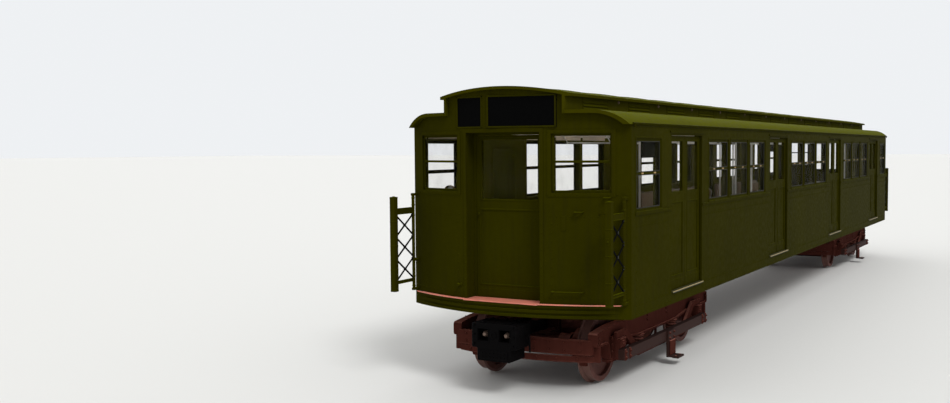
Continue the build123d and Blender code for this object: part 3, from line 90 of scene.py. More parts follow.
# Windows of a side, each by its middle's X and its width, and signs of an end, by middle Y and width
BAY_X = (-4.665, 0.0, 4.665)
BAY_WINDOWS = [(bay + step, 0.9) for bay in BAY_X for step in (-1, 0, 1)]
SIDE_WINDOWS = BAY_WINDOWS + [(-8.35, 0.8), (8.35, 0.8)]
END_SIGNS = ((-0.45, 0.4), (0.27, 0.88))

# Roof, trim, doors and gates
MONITOR_HALF = MONITOR_Y + 0.065
CROWN_RISE = 0.0975
TRIM_OUT = 0.008
PANEL_SEAM_X = (-3.5, -1.2, 1.2, 3.5)
LEAF_LIGHT_Z = (RAIL_Z + 2.33, RAIL_Z + 2.99)
LEAF_PANEL_Z = (RAIL_Z + 1.26, RAIL_Z + 2.2)
LEAF_PULL_Z = (RAIL_Z + 2.24, RAIL_Z + 2.34)
END_LIGHT_Z = (RAIL_Z + 2.28, RAIL_Z + 3.02)
END_PANEL_Z = (RAIL_Z + 1.25, RAIL_Z + 2.165)
GATE_PIN_OUT, GATE_Y, GATE_LENGTH, GATE_CELLS = 0.11, 1.455, 0.38, 3
GATE_LATTICE_Z = (RAIL_Z + 1.256, RAIL_Z + 2.087)

# Height of each gate rail's middle over the rails, and its own height
GATE_RAILS = ((1.237, 0.038), (2.125, 0.076))

# Running gear: the bars' X, bow, edges, nut heights and nut pitch
TRUCK_FACE_Y = 1.01
BEAM_NUT_Z = (AXLE_Z - 0.1, AXLE_Z - 0.03)
HEADSTOCK_BARS = (
    (2.03, 0.1, (0.43, 0.6), (0.465, 0.565), 0.2),
    (1.97, 0.17, (0.335, 0.4), (0.3675,), 0.25),
)

# Under the floor: each box's rear and front X, face Y, side and foot, and each pipe's Y and height
SLUNG_Z = RAIL_Z + 0.92
BEARER_X = (-3.6, -2.4, -1.2, 0, 1.2, 2.4, 3.6)
EQUIPMENT_CASES = ((-1.15, 1.05, 0.56, 1, 0.64), (1.25, 3.55, -0.6, -1, 0.62), (2.55, 3.55, 0.6, 1, 0.64))
RESISTOR_BANKS = ((-3.6, -2.4, 0.6, 1, 0.62), (-2.35, -1.2, -0.6, -1, 0.6))
PIPES = ((0.86, 0.9), (0.93, 0.905), (-0.86, 0.9), (-0.98, 0.905))
TANK_MIDDLE = Vector((1.8, 0.43, RAIL_Z + 0.74))

# Inside: each seat's kind, place along its bay and length, and the left half of the ceiling's outline
SEAT_TOP = FLOOR_TOP + 0.45
SEAT_BACK = FLOOR_TOP + 0.98
SEATS = (("bench", -1.13, 1.06), ("pair", -0.3, 0.48), ("pair", 0.3, 0.48), ("bench", 1.13, 1.06))
SEAT_DEPTH = {"bench": 0.48, "pair": 0.88}
EDGE_PULL, SEAM_REACH = 0.012, 0.93
CEILING_SECTION = (
    (1.387, RAIL_Z + 3.08),
    (1.38, RAIL_Z + 3.14),
    (1.35, RAIL_Z + 3.2),
    (1.28, RAIL_Z + 3.256),
    (1.2, RAIL_Z + 3.284),
    (1.1, DECK_Z - 0.008),
    (0.8, DECK_Z - 0.008),
    (0.782, DECK_Z),
    (0.782, MONITOR_Z - 0.03),
    (0.74, MONITOR_Z - 0.006),
    (0.45, MONITOR_Z + 0.044),
    (0.2, MONITOR_Z + 0.065),
    (0, MONITOR_Z + 0.068),
)

# Turned fittings: the radius, and the distance along the axis, at each step of the profile
NUT = ((0.018, 0), (0.018, 0.012), (0.01, 0.013), (0.01, 0.02), (0, 0.021))
KNOB_NECK = ((0.011, 0), (0.009, 0.008), (0.008, 0.012))
KNOB = (*KNOB_NECK, (0.018, 0.016), (0.019, 0.022), (0.012, 0.028), (0, 0.029))
CAB_KNOB = ((0.012, 0), (0.01, 0.02), (0.024, 0.03), (0.02, 0.045), (0, 0.048))
HOOK = ((0.03, 0), (0.03, 0.006), (0.014, 0.01), (0.014, 0.03), (0.024, 0.036), (0.02, 0.052), (0, 0.056))
BUTTON = ((0.012, 0), (0.012, 0.012), (0.006, 0.016), (0, 0.017))
CROSSING_PIN = ((0.018, 0), (0.018, 0.003), (0.01, 0.007), (0, 0.008))
POST_CAP = ((0.026, 0), (0.022, 0.006), (0.01, 0.01), (0, 0.011))
PIN_COLLAR = ((0.02, 0), (0.024, 0.003), (0.024, 0.013), (0.02, 0.016))
FACE_BOLT = ((0.016, 0), (0.016, 0.008), (0.009, 0.008), (0.009, 0.014), (0, 0.014))
HEAD_BOLT = ((0.024, 0), (0.024, 0.012), (0.012, 0.012), (0.012, 0.02), (0, 0.02))
GUIDE_PIN = ((0.034, 0), (0.034, 0.05), (0.02, 0.085), (0, 0.09))
AIR_PORT = ((0.042, 0), (0.042, 0.01), (0.03, 0.014), (0.026, 0.006), (0, 0.006))
CONTACT = ((0.009, 0), (0.009, 0.006), (0.004, 0.008), (0, 0.008))
SPRING_CAP = ((0.09, -0.006), (0.09, 0.004), (0.05, 0.012))
EQUALIZER_PIN = ((0.026, 0), (0.026, 0.006), (0.014, 0.008), (0.014, 0.014), (0, 0.014))
INSULATOR = ((0.018, 0), (0.026, 0.008), (0.018, 0.016), (0.026, 0.024), (0.012, 0.032), (0, 0.032))
TANK_END = ((0.158, 0), (0.14, 0.004), (0.05, 0.012), (0.03, 0.014), (0.03, 0.024), (0, 0.024))
LAMP_ROSE = ((0.06, 0), (0.055, 0.012), (0.02, 0.018), (0.018, 0.04), (0, 0.04))
DECK_ROSE = ((0.05, 0), (0.045, 0.01), (0.018, 0.016), (0.016, 0.032), (0, 0.032))
BULB = ((0.016, 0.038), (0.03, 0.06), (0.035, 0.08), (0.026, 0.1), (0, 0.112))
POLE_FLANGE = ((0.045, 0), (0.045, 0.006), (0.024, 0.014), (0.018, 0.03))
CONTROLLER_CAP = ((0.14, 0), (0.14, 0.03), (0.05, 0.05), (0.025, 0.055), (0.025, 0.08), (0, 0.08))
HANDLE_GRIP = ((0.012, 0), (0.02, 0.02), (0.02, 0.05), (0, 0.062))
VALVE_BODY = ((0.05, 0), (0.05, 0.05), (0.03, 0.07), (0.03, 0.1), (0, 0.1))
GAUGE_CASE = ((0.075, 0), (0.075, 0.045), (0.07, 0.052), (0.062, 0.052))
GAUGE_DIAL = ((0.063, 0.04), (0.063, 0.046), (0, 0.046))
STOOL = ((0.14, 0), (0.13, 0.015), (0.022, 0.03), (0.022, 0.55), (0.16, 0.56), (0.16, 0.59), (0, 0.59))

# Points nearer than this are doubles
POLE_MERGE = 1e-6

# A small screw's radius, height and sides
SCREW = (0.006, 0.002, 6)

# The camera, as fitted to the photograph: pixels, radians and metres
PHOTO_WIDTH, PRINCIPAL_X = 950, 536.2
YAW, PITCH, ROLL = 0.4895, 0.0524, -0.0054
CAMERA_PLACE = (19.554, 5.94, 2.895 + RAIL_Z)

DOOR_NUMBERS = (1, 2, 3, 4)
AXLE_NUMBERS = (1, 2, 3, 4)
BOTH = (-1, 1)
SIDES = (("left", 1), ("right", -1))
HALVES = (("front", 1), ("rear", -1))
ENDS = (("front", 1), ("rear", -1))

# Directions
OUT_FRONT = (1, 0, 0)
INTO_CAB = (-1, 0, 0)
OUT_LEFT = (0, 1, 0)
UP = (0, 0, 1)
DOWN = (0, 0, -1)


class SubwayColours(bpy.types.PropertyGroup):
    """Paint and material colours, as linear light values."""

    body: FloatVectorProperty(
        name="Body paint",
        description="Olive of the sides and ends",
        subtype="COLOR",
        default=(0.0245, 0.0232, 0.0003),
    )
    # This colour is a painted highlight: the olive of the decks as it looks where light falls on them facing
    # up.
    roof: FloatVectorProperty(
        name="Roof paint",
        description="Bleached olive of the decks",
        subtype="COLOR",
        default=(0.085, 0.091, 0.0012),
    )
    lining: FloatVectorProperty(
        name="Inside paint",
        description="Olive of the walls inside",
        subtype="COLOR",
        default=(0.075, 0.071, 0.004),
    )
    # The trucks' maroon is painted lighter than the paint itself, to make up for the shade under the body.
    truck: FloatVectorProperty(
        name="Truck paint",
        description="Maroon of the trucks",
        subtype="COLOR",
        default=(0.07, 0.02, 0.0145),
    )
    tread: FloatVectorProperty(
        name="Door treads",
        description="Worn coral of the treads",
        subtype="COLOR",
        default=(0.72, 0.22, 0.15),
    )
    # The seats' tan is painted lighter than the cane itself, to make up for the dim light inside the car.
    seat: FloatVectorProperty(
        name="Seat weave",
        description="Tan of the woven seats",
        subtype="COLOR",
        default=(0.58, 0.41, 0.25),
    )


class SubwaySizes(bpy.types.PropertyGroup):
    """Sizes of the small fittings."""

    rivet_radius: FloatProperty(
        name="Rivet radius",
        description="Radius of a rivet head",
        subtype="DISTANCE",
        default=0.009,
    )
    rivet_pitch: FloatProperty(
        name="Rivet pitch",
        description="Distance between rivets in a row",
        subtype="DISTANCE",
        default=0.1,
    )
    crown: FloatProperty(
        name="Seat crown",
        description="Rise of a cushion's middle",
        subtype="DISTANCE",
        default=0.022,
    )
    piping: FloatProperty(
        name="Seat piping",
        description="Radius of the cord sewn round a cushion's edges",
        subtype="DISTANCE",
        default=0.005,
    )
    camera_lens: FloatProperty(
        name="Lens",
        description="Focal length of the camera",
        subtype="DISTANCE_CAMERA",
        default=38.07,
    )


def wall_x(y, offset=0.0):
    """X of the front wall's face at y, or of an arc offset from it."""
    return CORNER_X + END_BOW - BOW_RADIUS + sqrt((BOW_RADIUS + offset) ** 2 - y * y)


def wall_normal(y):
    """Direction square to the front wall's face at y."""
    return Vector((sqrt(BOW_RADIUS**2 - y * y), y, 0)) / BOW_RADIUS


def around(middle, half):
    """The range that reaches half to each side of a middle."""
    return (middle - half, middle + half)


def evenly(start, end, count):
    """Places from start to end, with count equal steps between them."""
    return [start + (end - start) * number / count for number in range(count + 1)]


def shaded(colour, factor):
    """The colour, darker or lighter by a factor."""
    return tuple(channel * factor for channel in colour[:3])


class Finish:
    """A new material, and the nodes that feed its shader."""

    def __init__(self, name):
        self.material = bpy.data.materials.new(name)
        self.material.use_nodes = True
        self.nodes = self.material.node_tree.nodes
        self.link = self.material.node_tree.links.new
        self.shader = self.nodes["Principled BSDF"]

    def add(self, kind, **values):
        """A new node, with some of its settings given."""
        node = self.nodes.new(kind)
        for key, value in values.items():
            setattr(node, key, value)
        return node

    def feed(self, socket, value):
        """Gives a socket a number, a colour or another node's output."""
        if isinstance(value, bpy.types.NodeSocket):
            self.link(value, socket)
        elif socket.type == "RGBA":
            socket.default_value = (*value[:3], 1)
        else:
            socket.default_value = value

    def set(self, name, value):
        """Feeds one of the shader's own sockets."""
        self.feed(self.shader.inputs[name], value)

    def coordinates(self):
        """The object's X, Y and Z, each by itself."""
        parts = self.add("ShaderNodeSeparateXYZ")
        self.link(self.add("ShaderNodeTexCoord").outputs["Object"], parts.inputs[0])
        return parts.outputs

    def place(self, scale=(1, 1, 1), turn=(0, 0, 0)):
        """The object's coordinates, stretched and turned for a pattern."""
        mapping = self.add("ShaderNodeMapping")
        mapping.inputs["Scale"].default_value = scale
        mapping.inputs["Rotation"].default_value = turn
        self.link(self.add("ShaderNodeTexCoord").outputs["Object"], mapping.inputs["Vector"])
        return mapping.outputs["Vector"]

    def noise(self, place, scale, detail=4, roughness=0.55):
        """A cloudy value round one half."""
        node = self.add("ShaderNodeTexNoise")
        node.inputs["Scale"].default_value = scale
        node.inputs["Detail"].default_value = detail
        node.inputs["Roughness"].default_value = roughness
        self.link(place, node.inputs["Vector"])
        return node.outputs["Fac"]

    def wave(self, place, scale, distortion=0.0, direction="X"):
        """Straight bands side by side."""
        node = self.add("ShaderNodeTexWave", bands_direction=direction)
        node.inputs["Scale"].default_value = scale
        node.inputs["Distortion"].default_value = distortion
        self.link(place, node.inputs["Vector"])
        return node.outputs["Fac"]

    def spread(self, value, low, high, to_low=0.0, to_high=1.0):
        """The value's range low to high, stretched to another range and held inside it."""
        node = self.add("ShaderNodeMapRange")
        numbers = {"From Min": low, "From Max": high, "To Min": to_low, "To Max": to_high}
        for key, number in numbers.items():
            node.inputs[key].default_value = number
        self.link(value, node.inputs["Value"])
        return node.outputs["Result"]

    def blend(self, share, first, second):
        """A mix of two colours, each a tuple or a socket."""
        node = self.add("ShaderNodeMix", data_type="RGBA")
        self.link(share, node.inputs["Factor"])
        sockets = [socket for socket in node.inputs if socket.type == "RGBA"]
        for socket, colour in zip(sockets, (first, second)):
            self.feed(socket, colour)
        return next(socket for socket in node.outputs if socket.type == "RGBA")

    def times(self, first, second):
        """The product of two values, each a number or a socket."""
        node = self.add("ShaderNodeMath", operation="MULTIPLY")
        self.feed(node.inputs[0], first)
        self.feed(node.inputs[1], second)
        return node.outputs[0]

    def upward(self, low=0.45, high=0.95):
        """1 where a surface faces up, 0 where it is upright or faces down."""
        parts = self.add("ShaderNodeSeparateXYZ")
        self.link(self.add("ShaderNodeNewGeometry").outputs["Normal"], parts.inputs[0])
        return self.spread(parts.outputs["Z"], low, high)

    def inside_of(self, ranges):
        """1 where the size of each named coordinate lies in its range, 0 elsewhere."""
        places = self.coordinates()
        share = None
        for axis, (low, high) in ranges.items():
            size = self.add("ShaderNodeMath", operation="ABSOLUTE")
            self.link(places[axis], size.inputs[0])
            held = self.add("ShaderNodeMath", operation="COMPARE")
            self.link(size.outputs[0], held.inputs[0])
            held.inputs[1].default_value = (low + high) / 2
            held.inputs[2].default_value = (high - low) / 2
            share = self.times(share, held.outputs[0]) if share else held.outputs[0]
        return share

    def bump(self, height, strength, distance):
        """Roughens the surface by a height."""
        node = self.add("ShaderNodeBump")
        node.inputs["Strength"].default_value = strength
        node.inputs["Distance"].default_value = distance
        self.link(height, node.inputs["Height"])
        self.link(node.outputs["Normal"], self.shader.inputs["Normal"])


# Dirt, dust and wear, with painted highlights in the top colours and painted lightening in the wheel colours,
# as linear light values
OLIVE_GRIME = (0.014, 0.012, 0.004)
ROOF_GRIME = (0.03, 0.028, 0.004)
SOOT = (0.004, 0.004, 0.004)
# The trucks' top colour: dust, and a painted highlight where light falls on upward faces.
TRUCK_DUST_AND_HIGHLIGHT = (0.5, 0.2, 0.15)
# Under the floor, the top colour is dust and a painted highlight on upward faces.
UNDER_PAINT, UNDER_DUST_AND_HIGHLIGHT, UNDER_GRIME = (0.03, 0.012, 0.009), (0.2, 0.09, 0.07), (0.02, 0.01, 0.008)
GLASS_TINT, GLASS_DUST = (0.05, 0.05, 0.02), (0.12, 0.11, 0.06)
BARE_TREAD, TREAD_EDGE = (0.4, 0.27, 0.22), (0.36, 0.27, 0.11)
WORN_FLOOR = (0.16, 0.1, 0.08)
# The wheel colours are painted lighter than the iron itself, to make up for the shade under the body.
WHEEL_RUST, WHEEL_DUST, WHEEL_TREAD = (0.07, 0.024, 0.018), (0.115, 0.04, 0.03), (0.2, 0.11, 0.09)

# Stretches of the car, each by the size of its coordinates
INSIDE_WALLS = {"Y": (0, WALL_IN + 0.003)}
BETWEEN_ENDS = {"X": (0, 9.0)}
GATE_LATTICE = {"X": (9.031, 9.389), "Z": GATE_LATTICE_Z}
SIDE_TREAD_PAINTED = (
    {**BETWEEN_ENDS, "Y": (0, HALF_WIDTH + 0.02)},
    {**BETWEEN_ENDS, "Z": (0, FLOOR_TOP - 0.008)},
)


def paint(name, colour, top=None, dirt=OLIVE_GRIME, roughness=0.5, dirt_share=0.3, black=None, lining=None):
    """Old brushed enamel with uneven tone and streaks; upward faces may take a lighter top colour as a
    painted highlight, and a black stretch and linings may differ.
    """
    finish = Finish(name)
    place = finish.place()
    broad = finish.spread(finish.noise(place, 0.9), 0.3, 0.7)
    fine = finish.spread(finish.noise(place, 14, 6), 0.35, 0.65)
    runs = finish.noise(finish.place(scale=(5, 5, 0.35)), 3, 5)
    tone = finish.blend(broad, shaded(colour, 0.9), shaded(colour, 1.1))
    tone = finish.blend(finish.times(fine, 0.22), tone, shaded(colour, 0.72))
    # Upward faces blend to the top colour: a painted highlight for the light falling on them. On the trucks
    # and under the floor the top colour also stands for dust.
    if top:
        top_highlight = finish.blend(fine, shaded(top, 0.86), shaded(top, 1.08))
        tone = finish.blend(finish.upward(), tone, top_highlight)
    tone = finish.blend(finish.spread(runs, 0.48, 0.75, 0, dirt_share), tone, dirt)
    if black:
        tone = finish.blend(finish.inside_of(black), tone, SOOT)
    if lining:
        tone = finish.blend(finish.inside_of(INSIDE_WALLS), tone, lining)
    finish.set("Base Color", tone)
    finish.set("Roughness", finish.spread(fine, 0, 1, roughness - 0.08, roughness + 0.1))
    finish.set("Specular IOR Level", 0.002)
    finish.bump(finish.noise(place, 60, 3), 0.12, 0.002)
    return finish.material


def cast_iron(name, colour, roughness=0.62):
    """Rough cast metal with pits, rubbed lighter here and there."""
    finish = Finish(name)
    place = finish.place()
    fine = finish.spread(finish.noise(place, 22, 6), 0.3, 0.7)
    rubbed = finish.spread(finish.noise(place, 4, 8, 0.7), 0.58, 0.68, 0, 0.5)
    tone = finish.blend(fine, shaded(colour, 0.7), shaded(colour, 1.5))
    finish.set("Base Color", finish.blend(rubbed, tone, shaded(colour, 5)))
    finish.set("Specular IOR Level", 0.04)
    finish.set("Roughness", finish.spread(fine, 0, 1, roughness - 0.12, roughness + 0.12))
    finish.bump(finish.noise(place, 90, 5), 0.35, 0.003)
    return finish.material


def enamel(name, colour, roughness=0.3):
    """Smooth enamel, yellowed in patches, with brush marks."""
    finish = Finish(name)
    place = finish.place()
    worn = finish.spread(finish.noise(place, 6, 4), 0.4, 0.7)
    finish.set("Base Color", finish.blend(worn, colour, shaded(colour, 0.82)))
    finish.set("Roughness", roughness)
    finish.bump(finish.noise(place, 70, 2), 0.08, 0.001)
    return finish.material


def clear_glass(name, alpha=0.04):
    """Window glass with a little dust on it."""
    finish = Finish(name)
    film = finish.spread(finish.noise(finish.place(), 3.5, 6), 0.45, 0.8)
    finish.set("Base Color", finish.blend(film, GLASS_TINT, GLASS_DUST))
    finish.set("Specular IOR Level", 0.05)
    finish.set("Roughness", finish.spread(film, 0, 1, 0.02, 0.16))
    finish.set("Alpha", finish.spread(film, 0, 1, alpha, alpha + 0.05))
    finish.material.surface_render_method = "BLENDED"
    return finish.material


def worn_tread(name, colour, painted):
    """Ribbed plate scuffed to bare metal; a side tread is painted but for its outer edge."""
    finish = Finish(name)
    place = finish.place()
    scuff = finish.spread(finish.noise(place, 9, 8, 0.7), 0.55, 0.66, 0, 0.7)
    tone = finish.spread(finish.noise(place, 3), 0.35, 0.65)
    base = finish.blend(tone, shaded(colour, 0.8), colour)
    base = finish.blend(scuff, base, BARE_TREAD)
    base = finish.blend(finish.inside_of(BETWEEN_ENDS), base, TREAD_EDGE)
    for stretch in SIDE_TREAD_PAINTED:
        base = finish.blend(finish.inside_of(stretch), base, painted)
    finish.set("Base Color", base)
    finish.set("Roughness", 0.55)
    finish.bump(finish.wave(place, 18, direction="DIAGONAL"), 0.35, 0.003)
    return finish.material


def rattan(name, colour):
    """A close over-and-under weave of flat cane strips under varnish."""
    finish = Finish(name)
    place = finish.place(turn=(radians(45), radians(35), radians(45)))
    weave = finish.times(finish.wave(place, 32, 0.4), finish.wave(place, 32, 0.4, "Y"))
    broad = finish.spread(finish.noise(place, 2.2), 0.35, 0.7)
    tone = finish.blend(broad, colour, shaded(colour, 0.72))
    finish.set("Base Color", finish.blend(weave, shaded(colour, 0.35), tone))
    finish.set("Roughness", 0.42)
    finish.bump(weave, 0.6, 0.004)
    return finish.material


def linoleum(name, colour):
    """Flecked sheet floor, worn paler in patches."""
    finish = Finish(name)
    place = finish.place()
    fleck = finish.spread(finish.noise(place, 45, 3), 0.45, 0.6)
    worn = finish.spread(finish.noise(place, 1.3, 5), 0.45, 0.7, 0, 0.5)
    tone = finish.blend(fleck, colour, shaded(colour, 1.8))
    finish.set("Base Color", finish.blend(worn, tone, WORN_FLOOR))
    finish.set("Roughness", 0.6)
    return finish.material


def rolling_steel(name, axle_x):
    """Dusty wheel iron, painted lighter overall to make up for the shade under the body, and rubbed a little
    paler on the tread.
    """
    finish = Finish(name)
    object_x, _, object_z = finish.coordinates()
    flat = finish.add("ShaderNodeCombineXYZ")
    finish.link(object_x, flat.inputs["X"])
    finish.link(object_z, flat.inputs["Z"])
    distance = finish.add("ShaderNodeVectorMath", operation="DISTANCE")
    finish.link(flat.outputs[0], distance.inputs[0])
    distance.inputs[1].default_value = (axle_x, 0, AXLE_Z)
    radius = AXLE_Z - RAIL_Z
    tread = finish.spread(distance.outputs["Value"], radius - 0.006, radius - 0.001, 0, 0.55)
    place = finish.place()
    rust = finish.spread(finish.noise(place, 12, 6), 0.3, 0.7)
    body = finish.blend(rust, WHEEL_RUST, WHEEL_DUST)
    finish.set("Base Color", finish.blend(tread, body, WHEEL_TREAD))
    finish.set("Metallic", finish.spread(tread, 0, 1, 0, 0.5))
    finish.set("Roughness", finish.spread(tread, 0, 1, 0.7, 0.35))
    finish.set("Specular IOR Level", 0.2)
    finish.bump(finish.noise(place, 60, 4), 0.25, 0.002)
    return finish.material


def plain(name, colour, roughness=0.5, metallic=0.0, glow=0.0, gloss=0.3):
    """A small fitting's finish, with a mottle and a fine bump so that it isn't flat."""
    finish = Finish(name)
    mottle = finish.spread(finish.noise(finish.place(), 30, 3), 0.3, 0.7)
    finish.set("Base Color", finish.blend(mottle, shaded(colour, 0.85), shaded(colour, 1.1)))
    finish.set("Roughness", finish.spread(mottle, 0, 1, roughness - 0.05, roughness + 0.05))
    finish.set("Metallic", metallic)
    finish.set("Specular IOR Level", gloss)
    finish.bump(mottle, 0.1, 0.001)
    if glow:
        finish.set("Emission Color", colour)
        finish.set("Emission Strength", glow)
    return finish.material


MATERIALS = {}


def finish_piece(name, bm, materials, body, smooth=None):
    """Turns the bmesh into a piece that rides on a body."""
    set_order(bm.verts, lambda vert: vert.co)
    set_order(bm.faces, lambda face: face.calc_center_median())
    mesh = bpy.data.meshes.new(name)
    bm.to_mesh(mesh)
    bm.free()
    piece = bpy.data.objects.new(name, mesh)
    bpy.context.scene.collection.objects.link(piece)
    for material in [materials] if isinstance(materials, str) else materials:
        mesh.materials.append(MATERIALS[material])
    if smooth is not None:
        mesh.shade_smooth()
        mesh.set_sharp_from_angle(angle=radians(smooth))
    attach(piece, body)
    return piece


def set_order(parts, place):
    """Sorts vertices or faces by place, since bevel and some other operators leave them in any order."""
    ranked = sorted(parts, key=lambda part: [round(value, 5) for value in place(part)])
    rank = {part: index for index, part in enumerate(ranked)}
    parts.sort(key=rank.get)


def edges_of(verts):
    """The edges that meet some vertices, each once, in the same order on every run."""
    return dict.fromkeys(edge for vert in verts for edge in vert.link_edges)


def join(bm, form):
    """Moves a form that was made in a bmesh of its own into a piece."""
    mesh = bpy.data.meshes.new("form")
    form.to_mesh(mesh)
    form.free()
    bm.from_mesh(mesh)
    bpy.data.meshes.remove(mesh)


def face_outwards(form):
    """Turns the faces of one closed form, or of one that is open at its origin, outwards."""
    bmesh.ops.recalc_face_normals(form, faces=form.faces[:])
    if form.calc_volume(signed=True) < 0:
        bmesh.ops.reverse_faces(form, faces=form.faces[:])


def colour_faces(verts, material):
    """Gives the faces that meet some vertices a material."""
    for face in {face for vert in verts for face in vert.link_faces}:
        face.material_index = material


def add_box(bm, centre, size, bevel=0.0, turn=Matrix.Identity(4), material=0):
    """A box, bevelled if asked, turned about its own centre."""
    place = Matrix.Translation(centre) @ turn @ Matrix.Diagonal((*size, 1))
    verts = bmesh.ops.create_cube(bm, size=1, matrix=place)["verts"]
    colour_faces(verts, material)
    if bevel:
        edges = list(edges_of(verts))
        bmesh.ops.bevel(bm, geom=edges, offset=bevel, segments=1, profile=0.5, affect="EDGES", material=-1)


def add_span(bm, x, y, z, bevel=0.0, material=0):
    """A box between pairs of x, y and z."""
    centre = [sum(pair) / 2 for pair in (x, y, z)]
    size = [abs(pair[1] - pair[0]) for pair in (x, y, z)]
    add_box(bm, centre, size, bevel, material=material)


def add_rod(bm, start, end, radius, sides=10, material=0):
    """A round bar from one point to another."""
    start, end = Vector(start), Vector(end)
    turn = (end - start).to_track_quat("Z", "Y").to_matrix().to_4x4()
    made = bmesh.ops.create_cone(
        bm,
        cap_ends=True,
        segments=sides,
        radius1=radius,
        radius2=radius,
        depth=(end - start).length,
        matrix=Matrix.Translation((start + end) / 2) @ turn,
    )
    colour_faces(made["verts"], material)


def add_tube(bm, points, radius, sides=8, closed=False, up=UP, material=0):
    """A round tube that follows points, most of them square to up."""
    form = bmesh.new()
    points = [Vector(point) for point in points]
    last = len(points) - 1
    rings = []
    for index, point in enumerate(points):
        before = points[index - 1] if closed or index else point
        after = points[(index + 1) % len(points)] if closed or index < last else point
        along = (after - before).normalized()
        side = along.cross(Vector(up)).normalized()
        place = Matrix((side.cross(along), side, along)).transposed().to_4x4()
        place.translation = point
        circle = bmesh.ops.create_circle(form, radius=radius, segments=sides, matrix=place)
        rings.append(edges_of(circle["verts"]))
    if closed:
        rings.append(rings[0])
    for first, second in zip(rings, rings[1:]):
        bmesh.ops.bridge_loops(form, edges=list(first | second))
    if not closed:
        for ring in (rings[0], rings[-1]):
            bmesh.ops.edgeloop_fill(form, edges=list(ring))
    face_outwards(form)
    colour_faces(form.verts, material)
    join(bm, form)


def add_turned(bm, centre, axis, profile, sides=14, material=0):
    """A turned form: the radius and the distance along its axis at each step of the profile."""
    form = bmesh.new()
    line = [form.verts.new((radius, 0, along)) for radius, along in profile]
    line += [form.edges.new(pair) for pair in zip(line, line[1:])]
    middle = (0, 0, 0)
    bmesh.ops.spin(form, geom=line, cent=middle, axis=UP, angle=2 * pi, steps=sides, use_merge=True)
    bmesh.ops.remove_doubles(form, verts=form.verts[:], dist=POLE_MERGE)
    face_outwards(form)
    colour_faces(form.verts, material)
    turn = Vector(axis).to_track_quat("Z", "Y").to_matrix().to_4x4()
    form.transform(Matrix.Translation(centre) @ turn)
    join(bm, form)


def add_dome(bm, place, direction, radius, height, sides=8, material=0):
    """A low rivet or bolt head that stands on a face."""
    profile = ((radius, 0), (radius * 0.86, height * 0.6), (radius * 0.4, height), (0, height))
    add_turned(bm, place, direction, profile, sides, material)


def add_rivets(bm, place, direction, head, step=(0, 0, 0), count=0):
    """A rivet head, given by its radius and height, and copies of it, each one step further."""
    form = bmesh.new()
    add_dome(form, place, direction, *head)
    if count:
        bmesh.ops.spin(
            form,
            geom=form.verts[:] + form.edges[:] + form.faces[:],
            cent=(0, 0, 0),
            axis=UP,
            dvec=step,
            angle=0,
            steps=count,
            use_duplicate=True,
        )
    join(bm, form)


def duplicate_all(bm):
    made = bmesh.ops.duplicate(bm, geom=bm.verts[:] + bm.edges[:] + bm.faces[:])
    return [item for item in made["geom"] if isinstance(item, bmesh.types.BMVert)]


def add_other_side(bm):
    """Adds the mirror image of everything in the bmesh on the car's other side."""
    bmesh.ops.scale(bm, vec=(1, -1, 1), verts=duplicate_all(bm))
    bmesh.ops.recalc_face_normals(bm, faces=bm.faces[:])


def turn_round(bm, verts):
    """Turns vertices half round the car's middle, from the front end to the rear one."""
    bmesh.ops.rotate(bm, cent=(0, 0, 0), matrix=Matrix.Rotation(pi, 3, "Z"), verts=verts)


def add_other_end(bm):
    """Adds everything in the bmesh once more at the car's other end."""
    turn_round(bm, duplicate_all(bm))


def add_frame(bm, across, z, depth, width, bevel=0.0, material=0, on_end=False):
    """A rectangular moulding on a side or an end of the car, its middle line through the corners."""
    half = width / 2
    bars = [(around(edge, half), (z[0] - half, z[1] + half)) for edge in across]
    bars += [((across[0] + half, across[1] - half), around(edge, half)) for edge in z]
    for bar, height in bars:
        spans = (depth, bar) if on_end else (bar, depth)
        add_span(bm, *spans, height, bevel, material)


def doorway_middle(number):
    """X of a doorway's middle."""
    front, rear = (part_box(f"door_left_{number}_{half}") for half, _ in HALVES)
    return (front[0].x + rear[1].x) / 2


def side_stretches(gap):
    """X ranges of the side between its doorways and corners, a gap short of each."""
    edges = [-SIDE_END]
    for number in reversed(DOOR_NUMBERS):
        edges += around(doorway_middle(number), DOORWAY_HALF)
    edges.append(SIDE_END)
    return [(start + gap, end - gap) for start, end in zip(edges[::2], edges[1::2])]


